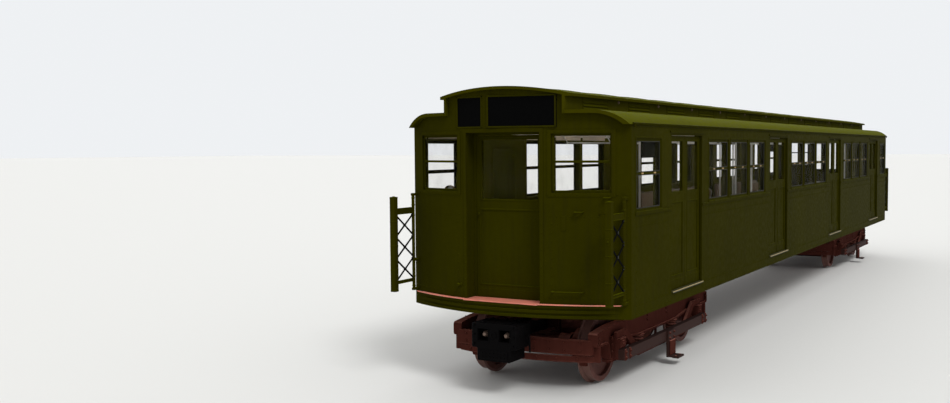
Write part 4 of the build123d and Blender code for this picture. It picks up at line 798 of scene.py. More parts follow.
class SUBWAY_OT_finishes(bpy.types.Operator):
    """Make the materials and give each carried-over part its finish"""

    bl_idname = "subway.finishes"
    bl_label = "Finishes"

    def execute(self, context):
        colours = context.scene.subway_colours
        body, roof, lining, truck = colours.body[:], colours.roof[:], colours.lining[:], colours.truck[:]
        # The body, sides and gates take a painted highlight on upward faces: the roof's lit olive, a little
        # darker.
        top_highlight = shaded(roof, 0.75)
        MATERIALS.update(
            body=paint("body_paint", body, top=top_highlight, roughness=0.46),
            # The roof's upright faces are the body olive painted half again as light, to make up for the
            # shade under the upper roof's overhang. Its upward faces take the roof colour, a painted
            # highlight.
            roof=paint("roof_paint", shaded(body, 1.5), top=roof, dirt=ROOF_GRIME, roughness=0.58),
            inside=paint("inside_paint", lining, roughness=0.4, dirt_share=0.15),
            side=paint("side_paint", body, top=top_highlight, roughness=0.46, lining=lining),
            gate=paint("gate_paint", body, top=top_highlight, black=GATE_LATTICE),
            # The truck's upward faces take dust and a painted highlight.
            truck=paint("truck_paint", truck, TRUCK_DUST_AND_HIGHLIGHT, shaded(truck, 0.5), 0.68, 0.4),
            # Parts under the floor take dust and a painted highlight on their upward faces.
            under=paint("under_paint", UNDER_PAINT, UNDER_DUST_AND_HIGHLIGHT, UNDER_GRIME, 0.72),
            coupler=cast_iron("coupler_iron", (0.0012, 0.0009, 0.001)),
            tread=worn_tread("tread_plate", colours.tread[:], body),
            glass=clear_glass("window_glass"),
            seat=rattan("seat_weave", colours.seat[:]),
            floor=linoleum("floor_sheet", (0.09, 0.03, 0.022)),
            white=enamel("white_enamel", (0.8, 0.8, 0.76)),
            ceiling=enamel("ceiling_enamel", (0.86, 0.8, 0.74), 0.5),
            blank=enamel("blank_plate", (0.66, 0.55, 0.42), 0.45),
            dial=enamel("gauge_dial", (0.7, 0.68, 0.6), 0.2),
            sign=plain("sign_black", (0.002, 0.002, 0.002), 0.6, gloss=0.01),
            rubber=plain("door_rubber", (0.012, 0.012, 0.012), 0.7),
            steel=plain("bright_steel", (0.5, 0.5, 0.48), 0.3, 0.9),
            brass=plain("old_brass", (0.45, 0.28, 0.1), 0.4, 0.8),
            lattice=plain("gate_lattice", (0.008, 0.008, 0.006), 0.5, 0.2, gloss=0.2),
            bulb=plain("lamp_glass", (0.95, 0.9, 0.8), 0.25, glow=20.0),
            wood=plain("beam_wood", (0.03, 0.012, 0.009), 0.8, gloss=0.15),
            worn=plain("worn_iron", (0.16, 0.11, 0.085), 0.6, gloss=0.1),
            collector=plain("collector_iron", (0.05, 0.03, 0.024), 0.5, 0.5),
        )
        finish_by_node = {
            "floor": "floor",
            "lower_roof": "roof",
            "clerestory": "roof",
            "window_glass": "glass",
            "door_treads": "tread",
            "side_sills": "under",
            "centre_sills": "under",
            "cross_bearers": "under",
            "underfloor_equipment": "under",
            "seat_frames": "inside",
            "cab_partitions": "inside",
            "grab_poles": "white",
            "sign_boxes": "sign",
            "side_wall_left": "side",
            "side_wall_right": "side",
        }
        for end, _ in ENDS:
            finish_by_node[f"coupler_{end}"] = "coupler"
            finish_by_node[f"shoe_beams_{end}"] = "wood"
            for side, _ in SIDES:
                finish_by_node[f"gate_{end}_{side}"] = "gate"
            for node in ("truck_frame", "truck_bolster", "journal_boxes", "equalizers", "motors"):
                finish_by_node[f"{node}_{end}"] = "truck"
        for number in AXLE_NUMBERS:
            low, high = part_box(f"wheelset_{number}")
            MATERIALS[f"wheel_{number}"] = rolling_steel(f"wheel_steel_{number}", (low.x + high.x) / 2)
            finish_by_node[f"wheelset_{number}"] = f"wheel_{number}"
        for name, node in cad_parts.items():
            node.data.materials.clear()
            node.data.materials.append(MATERIALS[finish_by_node.get(name, "body")])
        return {"FINISHED"}


class SUBWAY_OT_rivets(bpy.types.Operator):
    """Rows of rivets on both sides, both ends and the roof's edges"""

    bl_idname = "subway.rivets"
    bl_label = "Rivets"

    def execute(self, context):
        sizes = context.scene.subway_sizes
        radius, pitch = sizes.rivet_radius, sizes.rivet_pitch
        height = radius * 0.55
        self.side_rows((radius, height), pitch)
        self.end_rows((radius, height), pitch)

        bm = bmesh.new()
        count = round(CORNER_X / pitch)
        start = (-CORNER_X, MONITOR_HALF, MONITOR_Z)
        add_rivets(bm, start, OUT_LEFT, (radius * 0.9, height), (2 * CORNER_X / count, 0, 0), count)
        add_other_side(bm)
        finish_piece("roof_rivets", bm, "body", "carbody")
        return {"FINISHED"}

    @staticmethod
    def side_rows(head, pitch):
        bm = bmesh.new()
        stretches = side_stretches(0.045)
        rows = [(z, stretches) for z in (SKIRT_Z + 0.04, SKIRT_Z + 0.14, BELT_Z - 0.045, BELT_Z - 0.145)]
        rows.append((EAVE_Z - 0.03, [around(0, SIDE_END - 0.05)]))
        for z, runs in rows:
            for start, end in runs:
                count = max(1, round((end - start) / pitch))
                step = ((end - start) / count, 0, 0)
                add_rivets(bm, (start, HALF_WIDTH, z), OUT_LEFT, head, step, count)
        low, high = SKIRT_Z + 0.24, BELT_Z - 0.24
        for start, end in stretches:
            seams = [x for x in PANEL_SEAM_X if start + 0.2 < x < end - 0.2]
            for x in (start, end, *seams):
                count = round((high - low) / pitch)
                add_rivets(bm, (x, HALF_WIDTH, low), OUT_LEFT, head, (0, 0, pitch), count)
        add_other_side(bm)
        finish_piece("side_rivets", bm, "body", "carbody")

    @staticmethod
    def end_rows(head, pitch):
        bm = bmesh.new()
        rows = (
            (0.62, 1.47, SKIRT_Z + 0.24, 0),
            (0.62, 1.47, BELT_Z - 0.02, 0),
            (0.6, 1.36, PORT_Z[0] - 0.022, TRIM_OUT),
            (0.6, 1.36, PORT_Z[1] + 0.022, TRIM_OUT),
        )
        for start, end, z, out in rows:
            for y in evenly(start, end, round((end - start) / (pitch * 0.8))):
                add_rivets(bm, (wall_x(y) + out, y, z), wall_normal(y), head)
        low, high = SKIRT_Z + 0.3, BELT_Z - 0.1
        for y, out in ((0.523, TRIM_OUT), (0.64, 0), (1.45, 0)):
            count = round((high - low) / pitch)
            add_rivets(bm, (wall_x(y) + out, y, low), wall_normal(y), head, (0, 0, pitch), count)
        add_other_side(bm)
        add_other_end(bm)
        finish_piece("end_rivets", bm, "body", "carbody")


class SUBWAY_OT_roof_fittings(bpy.types.Operator):
    """Seams, gutters and vent frames of the roofs"""

    bl_idname = "subway.roof_fittings"
    bl_label = "Roof fittings"

    def execute(self, context):
        bm = bmesh.new()
        crown_radius = (MONITOR_HALF**2 + CROWN_RISE**2) / (2 * CROWN_RISE)
        crown_z = MONITOR_Z + 0.115 - crown_radius
        for x in evenly(-8.64, 8.64, 16):
            span = evenly(-0.86, 0.86, 12)
            seam = [(x, y, crown_z + sqrt(crown_radius**2 - y * y)) for y in span]
            add_tube(bm, seam, 0.006, 6, up=OUT_FRONT)
            for sign in BOTH:
                deck = (sign * 0.84, sign * 1.115)
                add_span(bm, around(x, 0.02), deck, (DECK_Z + 0.039, DECK_Z + 0.045), 0.002)
        for sign in BOTH:
            rail = [(x, sign * 0.93, DECK_Z + 0.046) for x in evenly(-9.05, 9.05, 16)]
            add_tube(bm, rail, 0.007, 6)
        finish_piece("roof_seams", bm, "roof", "carbody", 40)

        bm = bmesh.new()
        y, z = 1.522, RAIL_Z + 3.185
        add_rod(bm, (-CORNER_X, y, z), (CORNER_X, y, z), 0.009, 8)
        for x in around(0, CORNER_X - 0.05):
            add_rod(bm, (x, y, z), (x, y, z - 0.05), 0.01, 8)
        add_other_side(bm)
        finish_piece("gutters", bm, "body", "carbody", 40)

        bm = bmesh.new()
        low, high = RAIL_Z + 3.352, RAIL_Z + 3.487
        for number in range(13):
            x = number * 1.4 - 8.4
            face = (MONITOR_Y - 0.001, MONITOR_Y + 0.006)
            add_frame(bm, around(x, 0.362), (low, high), face, 0.016, 0.002)
            if number < 12:
                button = (x + 0.7, MONITOR_Y + 0.001, high - 0.01)
                add_dome(bm, button, OUT_LEFT, 0.022, 0.016, 12, 1)
        add_other_side(bm)
        finish_piece("vent_frames", bm, ["roof", "worn"], "carbody")
        return {"FINISHED"}


class SUBWAY_OT_windows(bpy.types.Operator):
    """Beads, latches and sills of the side windows, and the sashes of the end ones"""

    bl_idname = "subway.windows"
    bl_label = "Windows"

    def execute(self, context):
        bm = bmesh.new()
        pane = HALF_WIDTH - 0.01
        bead = SASH_W + 0.004
        lights = (
            (WINDOW_LOW_Z + bead, SASH_RAIL_Z - SASH_W / 2 - 0.004),
            (SASH_RAIL_Z + SASH_W / 2 + 0.004, WINDOW_TOP_Z - bead),
        )
        surround_z = (WINDOW_LOW_Z - 0.004, WINDOW_TOP_Z + 0.012)
        sill_z = (WINDOW_LOW_Z - 0.016, WINDOW_LOW_Z - 0.002)
        for x, width in SIDE_WINDOWS:
            half = width / 2
            for light in lights:
                add_frame(bm, around(x, half - bead), light, (pane - 0.009, pane + 0.001), 0.008)
            surround = (HALF_WIDTH - 0.002, HALF_WIDTH + 0.005)
            add_frame(bm, around(x, half + 0.012), surround_z, surround, 0.022, 0.002, 1)
            add_span(bm, around(x, half + 0.032), (HALF_WIDTH, HALF_WIDTH + 0.014), sill_z, 0.003, 1)
            for latch in around(x, 0.2):
                add_span(bm, around(latch, 0.03), (pane, pane + 0.008), around(SASH_RAIL_Z, 0.009), 0.002, 2)
        add_other_side(bm)
        finish_piece("window_beads", bm, ["rubber", "body", "brass"], "carbody")

        bm = bmesh.new()
        middle = sum(PORT_Y) / 2
        angle = asin(middle / BOW_RADIUS)
        turn = Matrix.Rotation(angle, 4, "Z")
        across = Vector((-sin(angle), cos(angle), 0))
        centre = Vector((wall_x(middle, -0.05), middle, 0)) + 0.004 * wall_normal(middle)
        half = (PORT_Y[1] - PORT_Y[0]) / 2 / cos(angle)
        for step in around(0, half - 0.014):
            spot = centre + step * across + Vector((0, 0, sum(PORT_Z) / 2))
            add_box(bm, spot, (0.016, 0.028, PORT_Z[1] - PORT_Z[0]), 0.003, turn)
        for z in (PORT_Z[0] + 0.014, PORT_Z[1] - 0.014, PORT_RAIL_Z):
            add_box(bm, centre + Vector((0, 0, z)), (0.016, 2 * half, 0.028), 0.003, turn)
        add_other_side(bm)
        add_other_end(bm)
        finish_piece("end_window_sashes", bm, "body", "carbody")
        return {"FINISHED"}


class SUBWAY_OT_door_fittings(bpy.types.Operator):
    """Glass, mouldings, handles and rubber edges for the sliding leaves and end doors"""

    bl_idname = "subway.door_fittings"
    bl_label = "Door fittings"

    def execute(self, context):
        for side, sign in SIDES:
            for number in DOOR_NUMBERS:
                for half, way in HALVES:
                    self.dress_leaf(f"door_{side}_{number}_{half}", sign, way)
        for end, way in ENDS:
            self.dress_end_door(f"end_door_{end}", way)
        return {"FINISHED"}

    @staticmethod
    def dress_leaf(body, sign, way):
        low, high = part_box(body)
        meet = low.x if way > 0 else high.x
        middle = meet + way * 0.292
        span = around(middle, 0.21)
        y = (low.y + high.y) / 2
        bm = bmesh.new()
        add_span(bm, span, around(y, 0.003), LEAF_LIGHT_Z)
        finish_piece(f"{body}_glass", bm, "glass", body)

        bm = bmesh.new()
        outer, inner = (high.y, low.y) if sign > 0 else (low.y, high.y)
        for face, out in ((outer, sign), (inner, -sign)):
            bead = around(face, 0.004)
            add_frame(bm, span, LEAF_LIGHT_Z, bead, 0.018, 0.002)
            add_frame(bm, span, LEAF_PANEL_Z, bead, 0.016, 0.002)
            kick_face = face + out * 0.003
            kick_z = (low.z + 0.01, low.z + 0.13)
            add_span(bm, (low.x + 0.02, high.x - 0.02), (face, kick_face), kick_z, 0.001)
            for x in (low.x + 0.05, middle, high.x - 0.05):
                add_dome(bm, (x, kick_face, low.z + 0.115), (0, out, 0), *SCREW)
        seal = (meet - 0.0025, meet + way * 0.006)
        add_span(bm, seal, around(y, 0.016), (low.z + 0.005, high.z - 0.005), 0.001, 1)
        pull = around(meet + way * 0.045, 0.012)
        add_span(bm, pull, (inner - sign * 0.004, inner), LEAF_PULL_Z, 0.002, 2)
        finish_piece(f"{body}_trim", bm, ["body", "rubber", "brass"], body)

    @staticmethod
    def dress_end_door(body, way):
        bm = bmesh.new()
        face = DOOR_PLANE_X
        add_span(bm, (face - 0.025, face - 0.018), (-0.395, 0.395), END_LIGHT_Z)
        if way < 0:
            turn_round(bm, bm.verts[:])
        finish_piece(f"{body}_glass", bm, "glass", body)

        bm = bmesh.new()
        for x, out in ((face, 1), (face - END_DOOR_THICK, -1)):
            moulding = (x - out * 0.004, x + out * 0.005)
            for z, half in ((END_LIGHT_Z, 0.395), (END_PANEL_Z, 0.41)):
                for y in around(0, half):
                    add_span(bm, moulding, around(y, 0.011), (z[0] - 0.011, z[1] + 0.011), 0.003)
                for edge in z:
                    add_span(bm, moulding, around(0, half), around(edge, 0.011), 0.003)
            plate = x + out * 0.004
            lock_y = -0.417
            add_span(bm, (x, plate), around(lock_y, 0.025), (RAIL_Z + 2.0, RAIL_Z + 2.16), 0.001)
            add_turned(bm, (plate, lock_y, RAIL_Z + 2.11), (out, 0, 0), KNOB, 16)
            add_dome(bm, (plate, lock_y, RAIL_Z + 2.04), (out, 0, 0), 0.008, 0.003, 10)
            kick_face = x + out * 0.003
            add_span(bm, (x, kick_face), (-0.4, 0.4), (FLOOR_TOP + 0.03, RAIL_Z + 1.2), 0.001)
            for y in evenly(-0.38, 0.38, 8):
                add_dome(bm, (kick_face, y, RAIL_Z + 1.185), (out, 0, 0), *SCREW)
        if way < 0:
            turn_round(bm, bm.verts[:])
        finish_piece(f"{body}_trim", bm, "body", body)


class SUBWAY_OT_end_fittings(bpy.types.Operator):
    """Sign frames, blank plates, hooks and tread edges of both ends"""

    bl_idname = "subway.end_fittings"
    bl_label = "End fittings"

    def execute(self, context):
        bm = bmesh.new()
        low, high = RAIL_Z + 3.145, RAIL_Z + 3.525
        for middle, width in END_SIGNS:
            turn = Matrix.Rotation(asin(middle / BOW_RADIUS), 4, "Z")
            normal = wall_normal(middle)
            across = Vector((-normal.y, normal.x, 0))
            base = Vector((wall_x(middle), middle, 0)) - 0.004 * normal
            for step in around(0, width / 2 - 0.009):
                spot = base + step * across + Vector((0, 0, (low + high) / 2))
                add_box(bm, spot, (0.014, 0.018, high - low), 0.002, turn)
            for z in (low + 0.009, high - 0.009):
                add_box(bm, base + Vector((0, 0, z)), (0.014, width, 0.018), 0.002, turn)
        add_other_end(bm)
        finish_piece("sign_frames", bm, "body", "carbody")

        bm = bmesh.new()
        plate_y, plate_z = 0.778, RAIL_Z + 2.032
        turn = Matrix.Rotation(asin(plate_y / BOW_RADIUS), 4, "Z")
        spot = Vector((wall_x(plate_y), plate_y, plate_z)) + 0.003 * wall_normal(plate_y)
        add_box(bm, spot, (0.006, 0.056, 0.173), 0.002, turn)
        for y, z, profile, sides in (
            (-0.608, 1.247, HOOK, 16),
            (-1.443, 1.49, HOOK, 16),
            (1.178, 2.149, BUTTON, 10),
            (1.225, 2.149, BUTTON, 10),
        ):
            add_turned(bm, (wall_x(y) - 0.001, y, RAIL_Z + z), wall_normal(y), profile, sides)
        add_other_end(bm)
        finish_piece("end_plates", bm, "body", "carbody", 35)

        bm = bmesh.new()
        for start, end in ((-1.43, -0.52), (0.52, 1.43)):
            edge = [(wall_x(y) + 0.05, y, FLOOR_TOP + 0.011) for y in evenly(start, end, 14)]
            add_tube(bm, edge, 0.005, 6)
        edge = [(wall_x(y) + 0.047 + 0.018 * cos(y), y, FLOOR_TOP + 0.008) for y in evenly(-1.4, 1.4, 40)]
        add_tube(bm, edge, 0.006, 6)
        add_other_end(bm)
        finish_piece("tread_edges", bm, "tread", "carbody", 40)
        return {"FINISHED"}


class SUBWAY_OT_gates(bpy.types.Operator):
    """Crossing pins, rail edges, post bands, caps, collars and latches of the corner gates"""

    bl_idname = "subway.gates"
    bl_label = "Gates"

    def execute(self, context):
        for end, way in ENDS:
            for side, sign in SIDES:
                self.dress_gate(f"gate_{end}_{side}", way, sign)
        return {"FINISHED"}

    @staticmethod
    def dress_gate(body, way, sign):
        bm = bmesh.new()
        pin_x, y = way * (CORNER_X + GATE_PIN_OUT), sign * GATE_Y
        post_x = pin_x + way * (GATE_LENGTH + 0.035)
        levels = evenly(*GATE_LATTICE_Z, GATE_CELLS)
        for bottom, top in zip(levels, levels[1:]):
            for out in BOTH:
                face = y + out * 0.008
                crossing = (pin_x + way * GATE_LENGTH / 2, face, (bottom + top) / 2)
                add_turned(bm, crossing, (0, out, 0), CROSSING_PIN, 14, 1)
                for x in (pin_x + way * 0.026, pin_x + way * (GATE_LENGTH - 0.008)):
                    for z in (bottom + 0.016, top - 0.016):
                        add_dome(bm, (x, face, z), (0, out, 0), 0.01, 0.006, 10, 1)
        rail_x = (pin_x + way * 0.017, pin_x + way * (GATE_LENGTH + 0.002))
        for z, height in GATE_RAILS:
            for line in around(RAIL_Z + z, height / 2 - 0.004):
                add_span(bm, rail_x, around(y, 0.014), around(line, 0.006), 0.004)
        for z in (1.142, 1.4, 1.7, 2.0, 2.298):
            add_box(bm, (post_x, y, RAIL_Z + z), (0.076, 0.076, 0.018), 0.004)
        add_turned(bm, (post_x, y, RAIL_Z + 2.307), UP, POST_CAP, 16)
        for z in (1.16, 1.28, 2.06, 2.19, 2.28):
            add_turned(bm, (pin_x, y, RAIL_Z + z - 0.008), UP, PIN_COLLAR, 18)
        latch_x, latch_z = post_x + way * 0.035, RAIL_Z + 1.86
        add_box(bm, (latch_x, y, latch_z), (0.008, 0.04, 0.09), 0.002)
        add_dome(bm, (latch_x + way * 0.003, y, latch_z), (way, 0, 0), 0.012, 0.012, 14)
        finish_piece(f"{body}_trim", bm, ["body", "lattice"], body, 40)


class SUBWAY_OT_couplers(bpy.types.Operator):
    """Bolts, guide pins, contact box and levers of both couplers"""

    bl_idname = "subway.couplers"
    bl_label = "Couplers"

    def execute(self, context):
        for end, way in ENDS:
            bm = bmesh.new()
            self.coupling_face(bm, COUPLER_FACE_X)
            self.head_and_shank(bm, COUPLER_FACE_X - 0.35)
            if way < 0:
                turn_round(bm, bm.verts[:])
            body = f"coupler_{end}"
            finish_piece(f"{body}_fittings", bm, ["coupler", "worn"], body, 35)
        return {"FINISHED"}

    @staticmethod
    def coupling_face(bm, face):
        """Bolts, guide sockets, the round air port and the box of contacts under them."""
        for y in (-0.265, 0.265):
            for z in (0.6, 0.71, 0.82):
                add_turned(bm, (face, y, RAIL_Z + z), OUT_FRONT, FACE_BOLT, 6)
        for y in (-0.145, 0.145):
            socket = (face - 0.002, face + 0.004)
            add_frame(bm, around(y, 0.078), around(COUPLER_Z, 0.078), socket, 0.012, 0.001, on_end=True)
            add_turned(bm, (face - 0.118, y, COUPLER_Z), OUT_FRONT, GUIDE_PIN, 18, 1)
        add_turned(bm, (face - 0.002, 0, COUPLER_Z), OUT_FRONT, AIR_PORT, 24)
        contact_face = face + 0.012
        add_span(bm, (face - 0.06, contact_face), (-0.19, 0.19), (RAIL_Z + 0.425, RAIL_Z + 0.53), 0.008)
        for y in evenly(-0.15, 0.15, 6):
            for z in (0.455, 0.5):
                add_turned(bm, (contact_face, y, RAIL_Z + z), OUT_FRONT, CONTACT, 10)

    @staticmethod
    def head_and_shank(bm, back):
        """Bolts and ribs on the head, the release levers, and bands on the shank."""
        for y in (-0.18, 0.18):
            add_turned(bm, (back + 0.05, y, RAIL_Z + 0.848), UP, HEAD_BOLT, 6)
            add_span(bm, (back + 0.1, back + 0.32), around(y, 0.02), (RAIL_Z + 0.846, RAIL_Z + 0.858), 0.004)
        for sign in BOTH:
            for x in (back + 0.05, back + 0.18, back + 0.3):
                for z in (0.6, 0.8):
                    add_dome(bm, (x, sign * 0.3, RAIL_Z + z), (0, sign, 0), 0.014, 0.008, 12)
            lever = ((0.302, 0.7), (0.33, 0.7), (0.345, 0.69), (0.35, 0.5))
            points = [(back + 0.1, sign * y, RAIL_Z + z) for y, z in lever]
            add_tube(bm, points, 0.012, 8, up=OUT_FRONT)
        for x in (8.55, 8.75, 8.95):
            add_span(bm, around(x, 0.03), (-0.096, 0.096), (RAIL_Z + 0.611, RAIL_Z + 0.789), 0.005)


class SUBWAY_OT_trucks(bpy.types.Operator):
    """Box lids, nuts, brake rods, spring caps, hangers and shoe beam straps of both trucks"""

    bl_idname = "subway.trucks"
    bl_label = "Trucks"

    def execute(self, context):
        for end, way in ENDS:
            iron = bmesh.new()
            for sign in BOTH:
                self.side_frame(iron, sign)
                for step in BOTH:
                    self.axle_place(iron, step, sign)
                    self.box_lid(iron, step * AXLE_X, sign)
            for turn in (0, pi):
                self.headstock(iron, turn)
            self.brakes(iron)
            bmesh.ops.translate(iron, vec=(way * TRUCK_X, 0, 0), verts=iron.verts[:])
            finish_piece(f"truck_{end}_iron", iron, "truck", f"truck_{end}", 35)

            beams = bmesh.new()
            for sign in BOTH:
                self.shoe_beam(beams, sign)
            bmesh.ops.translate(beams, vec=(way * TRUCK_X, 0, 0), verts=beams.verts[:])
            materials = ["truck", "collector"]
            finish_piece(f"truck_{end}_beams", beams, materials, f"truck_{end}", 35)
        return {"FINISHED"}

    @staticmethod
    def side_frame(bm, sign):
        """The row of rivets along a side frame, and the nuts of its bolster and brackets."""
        out = (0, sign, 0)
        for x in evenly(-1.74, 1.74, 24):
            if not 0.06 < abs(abs(x) - AXLE_X) < 0.2:
                add_dome(bm, (x, sign * TRUCK_FACE_Y, RAIL_Z + 0.718), out, 0.009, 0.005, 8)
        for x in (-0.03, 0.03):
            for z in (0.245, 0.47):
                add_dome(bm, (x, sign * 0.823, RAIL_Z + z), out, 0.012, 0.008, 8)
        for x in (-0.35, 0.35):
            for z in (0.61, 0.67):
                add_turned(bm, (x, sign * 0.975, RAIL_Z + z), out, NUT, 6)

    @staticmethod
    def axle_place(bm, step, sign):
        """Nuts, the spring's cap and the equalizer's pins beside one axle."""
        out = (0, sign, 0)
        axle = step * AXLE_X
        for x in around(axle, 0.15):
            add_turned(bm, (x, sign * 0.95, AXLE_Z - 0.155), DOWN, NUT, 6)
        for z in (AXLE_Z - 0.03, AXLE_Z + 0.06, RAIL_Z + 0.56):
            for x in around(axle, 0.145):
                add_turned(bm, (x, sign * TRUCK_FACE_Y, z), out, NUT, 6)
        spring = step * 0.62
        add_turned(bm, (spring, sign * 0.95, RAIL_Z + 0.462), UP, SPRING_CAP, 20)
        add_turned(bm, (spring, sign * 0.95, RAIL_Z + 0.229), DOWN, NUT, 6)
        for x in (step * 0.3, step * 0.9):
            add_turned(bm, (x, sign * 1.06, RAIL_Z + 0.28), out, EQUALIZER_PIN, 14)
        for z in (0.62, 0.56):
            add_turned(bm, (step * 1.97, sign * TRUCK_FACE_Y, RAIL_Z + z), out, NUT, 6)

    @staticmethod
    def box_lid(bm, x, sign):
        """The hinged lid of a journal box, with its spring clip."""
        face = 1.096
        low, high = AXLE_Z + 0.017, AXLE_Z + 0.113

        def plate(across, back, front, z, bevel):
            add_span(bm, across, (sign * (face + back), sign * (face + front)), z, bevel)

        plate(around(x, 0.07), 0, 0.006, (low + 0.014, high - 0.014), 0.004)
        hinge = [(end, sign * (face - 0.002), high + 0.006) for end in around(x, 0.088)]
        add_rod(bm, *hinge, 0.011, 10)
        for lug in around(x, 0.055):
            plate(around(lug, 0.012), -0.004, 0.012, (high - 0.03, high + 0.014), 0.003)
        plate(around(x, 0.014), 0, 0.014, (low - 0.006, low + 0.05), 0.004)
        add_dome(bm, (x, sign * (face + 0.014), low + 0.03), (0, sign, 0), 0.01, 0.006, 10)

    @staticmethod
    def headstock(bm, turn):
        """Nuts and ribs along the two bowed bars at one end of a truck."""
        form = bmesh.new()
        for x, bow, bar_z, nut_z, pitch in HEADSTOCK_BARS:
            radius = (0.95**2 + bow**2) / (2 * bow)
            centre = x + bow - radius
            count = int(0.88 / pitch)
            for number in range(-count, count + 1):
                y = number * pitch
                reach = sqrt(radius**2 - y * y)
                for z in nut_z:
                    add_turned(form, (centre + reach - 0.001, y, RAIL_Z + z), (reach, y, 0), NUT, 6)
            for z in bar_z:
                steps = evenly(-0.93, 0.93, 24)
                line = [(centre + sqrt(radius**2 - y * y) - 0.004, y, RAIL_Z + z) for y in steps]
                add_tube(form, line, 0.008, 6)
        form.transform(Matrix.Rotation(turn, 4, "Z"))
        join(bm, form)

    @staticmethod
    def brakes(bm):
        """Hangers and pins of the brake shoes, and the pull rods between them."""
        for sign in BOTH:
            for x in around(0, AXLE_X + 0.47):
                hanger_y = (sign * 0.73, sign * 0.79)
                add_span(bm, around(x, 0.02), hanger_y, (AXLE_Z - 0.13, AXLE_Z + 0.02), 0.006)
                pin_z = AXLE_Z - 0.06
                add_rod(bm, (x, sign * 0.715, pin_z), (x, sign * 0.805, pin_z), 0.016, 12)
            for half, radius, sides in ((0.34, 0.016, 10), (0.09, 0.026, 6)):
                rod = [(x, sign * 0.56, RAIL_Z + 0.21) for x in around(0, half)]
                add_rod(bm, *rod, radius, sides)

    @staticmethod
    def shoe_beam(bm, sign):
        """Straps, nuts and the contact shoe of the beam on one side of a truck."""
        out = (0, sign, 0)
        for x in around(0, AXLE_X):
            for strap in around(x, 0.07):
                strap_y = (sign * 1.157, sign * 1.166)
                add_span(bm, around(strap, 0.025), strap_y, (AXLE_Z - 0.136, AXLE_Z + 0.006), 0.002)
                for z in BEAM_NUT_Z:
                    add_turned(bm, (strap, sign * 1.166, z), out, NUT, 6)
        for x in (-0.08, 0.08):
            for z in BEAM_NUT_Z:
                add_turned(bm, (x, sign * 1.195, z), out, NUT, 6)
        for x in (-0.077, 0.077):
            add_dome(bm, (x, sign * 1.28, RAIL_Z + 0.095), UP, 0.014, 0.008, 8)
        add_span(bm, (-0.1, 0.1), (sign * 1.2, sign * 1.215), (RAIL_Z + 0.1, RAIL_Z + 0.3), 0.004)
        shoe_z = (RAIL_Z + 0.068, RAIL_Z + 0.078)
        add_span(bm, (-0.112, 0.112), (sign * 1.24, sign * 1.332), shoe_z, 0.004, 1)


class SUBWAY_OT_underfloor(bpy.types.Operator):
    """Latches, handles, insulators, tank ends, clamped pipes and nuts under the floor"""

    bl_idname = "subway.underfloor"
    bl_label = "Underfloor"

    def execute(self, context):
        bm = bmesh.new()
        for case in EQUIPMENT_CASES:
            self.case_lids(bm, *case)
        for bank in RESISTOR_BANKS:
            self.resistor_rods(bm, *bank)
        for x in (-0.649, 0.649):
            add_turned(bm, TANK_MIDDLE + Vector((x, 0, 0)), (x, 0, 0), TANK_END, 28)
        drain = [TANK_MIDDLE + Vector((0.1, 0, -depth)) for depth in (0.156, 0.185)]
        add_rod(bm, *drain, 0.014, 10)
        for y, z in PIPES:
            add_rod(bm, (-3.75, y, RAIL_Z + z), (3.75, y, RAIL_Z + z), 0.016, 10)
            for x in BEARER_X:
                add_span(bm, around(x, 0.018), around(y, 0.024), (RAIL_Z + z - 0.02, SLUNG_Z), 0.003)
        for sign in BOTH:
            for bearer in BEARER_X:
                for x in around(bearer, 0.03):
                    add_turned(bm, (x, sign * 1.335, SLUNG_Z), DOWN, NUT, 6)
                    add_turned(bm, (x, sign * 0.17, SLUNG_Z - 0.04), DOWN, NUT, 6)
        finish_piece("underfloor_fittings", bm, ["under", "white"], "carbody", 35)
        return {"FINISHED"}

    @staticmethod
    def case_lids(bm, x0, x1, y, sign, low):
        """Four latches and a handle on each lid of a case."""
        low_latch, high_latch = RAIL_Z + low + 0.05, SLUNG_Z - 0.05
        lids = round((x1 - x0) / 0.46)
        pitch = (x1 - x0) / lids
        for number in range(lids):
            middle = x0 + (number + 0.5) * pitch
            for x in around(middle, pitch * 0.28):
                for z in (low_latch, high_latch):
                    add_span(bm, around(x, 0.016), (y, y + sign * 0.012), around(z, 0.028), 0.003)
            grip_x, grip_y = around(middle, 0.05), (y, y + sign * 0.03)
            bends = ((0, 0), (0, 1), (1, 1), (1, 0))
            grip = [(grip_x[right], grip_y[out], SLUNG_Z - 0.13) for right, out in bends]
            add_tube(bm, grip, 0.006, 6)

    @staticmethod
    def resistor_rods(bm, x0, x1, y, sign, low):
        """Insulators at the corners of a bank of resistors, and two rods along it."""
        for x in (x0 + 0.06, x1 - 0.06):
            for z in (RAIL_Z + low + 0.02, SLUNG_Z - 0.02):
                add_turned(bm, (x, y, z), (0, sign, 0), INSULATOR, 14, 1)
        for z in (RAIL_Z + low + 0.1, SLUNG_Z - 0.1):
            add_rod(bm, (x0, y + sign * 0.004, z), (x1, y + sign * 0.004, z), 0.008, 8)


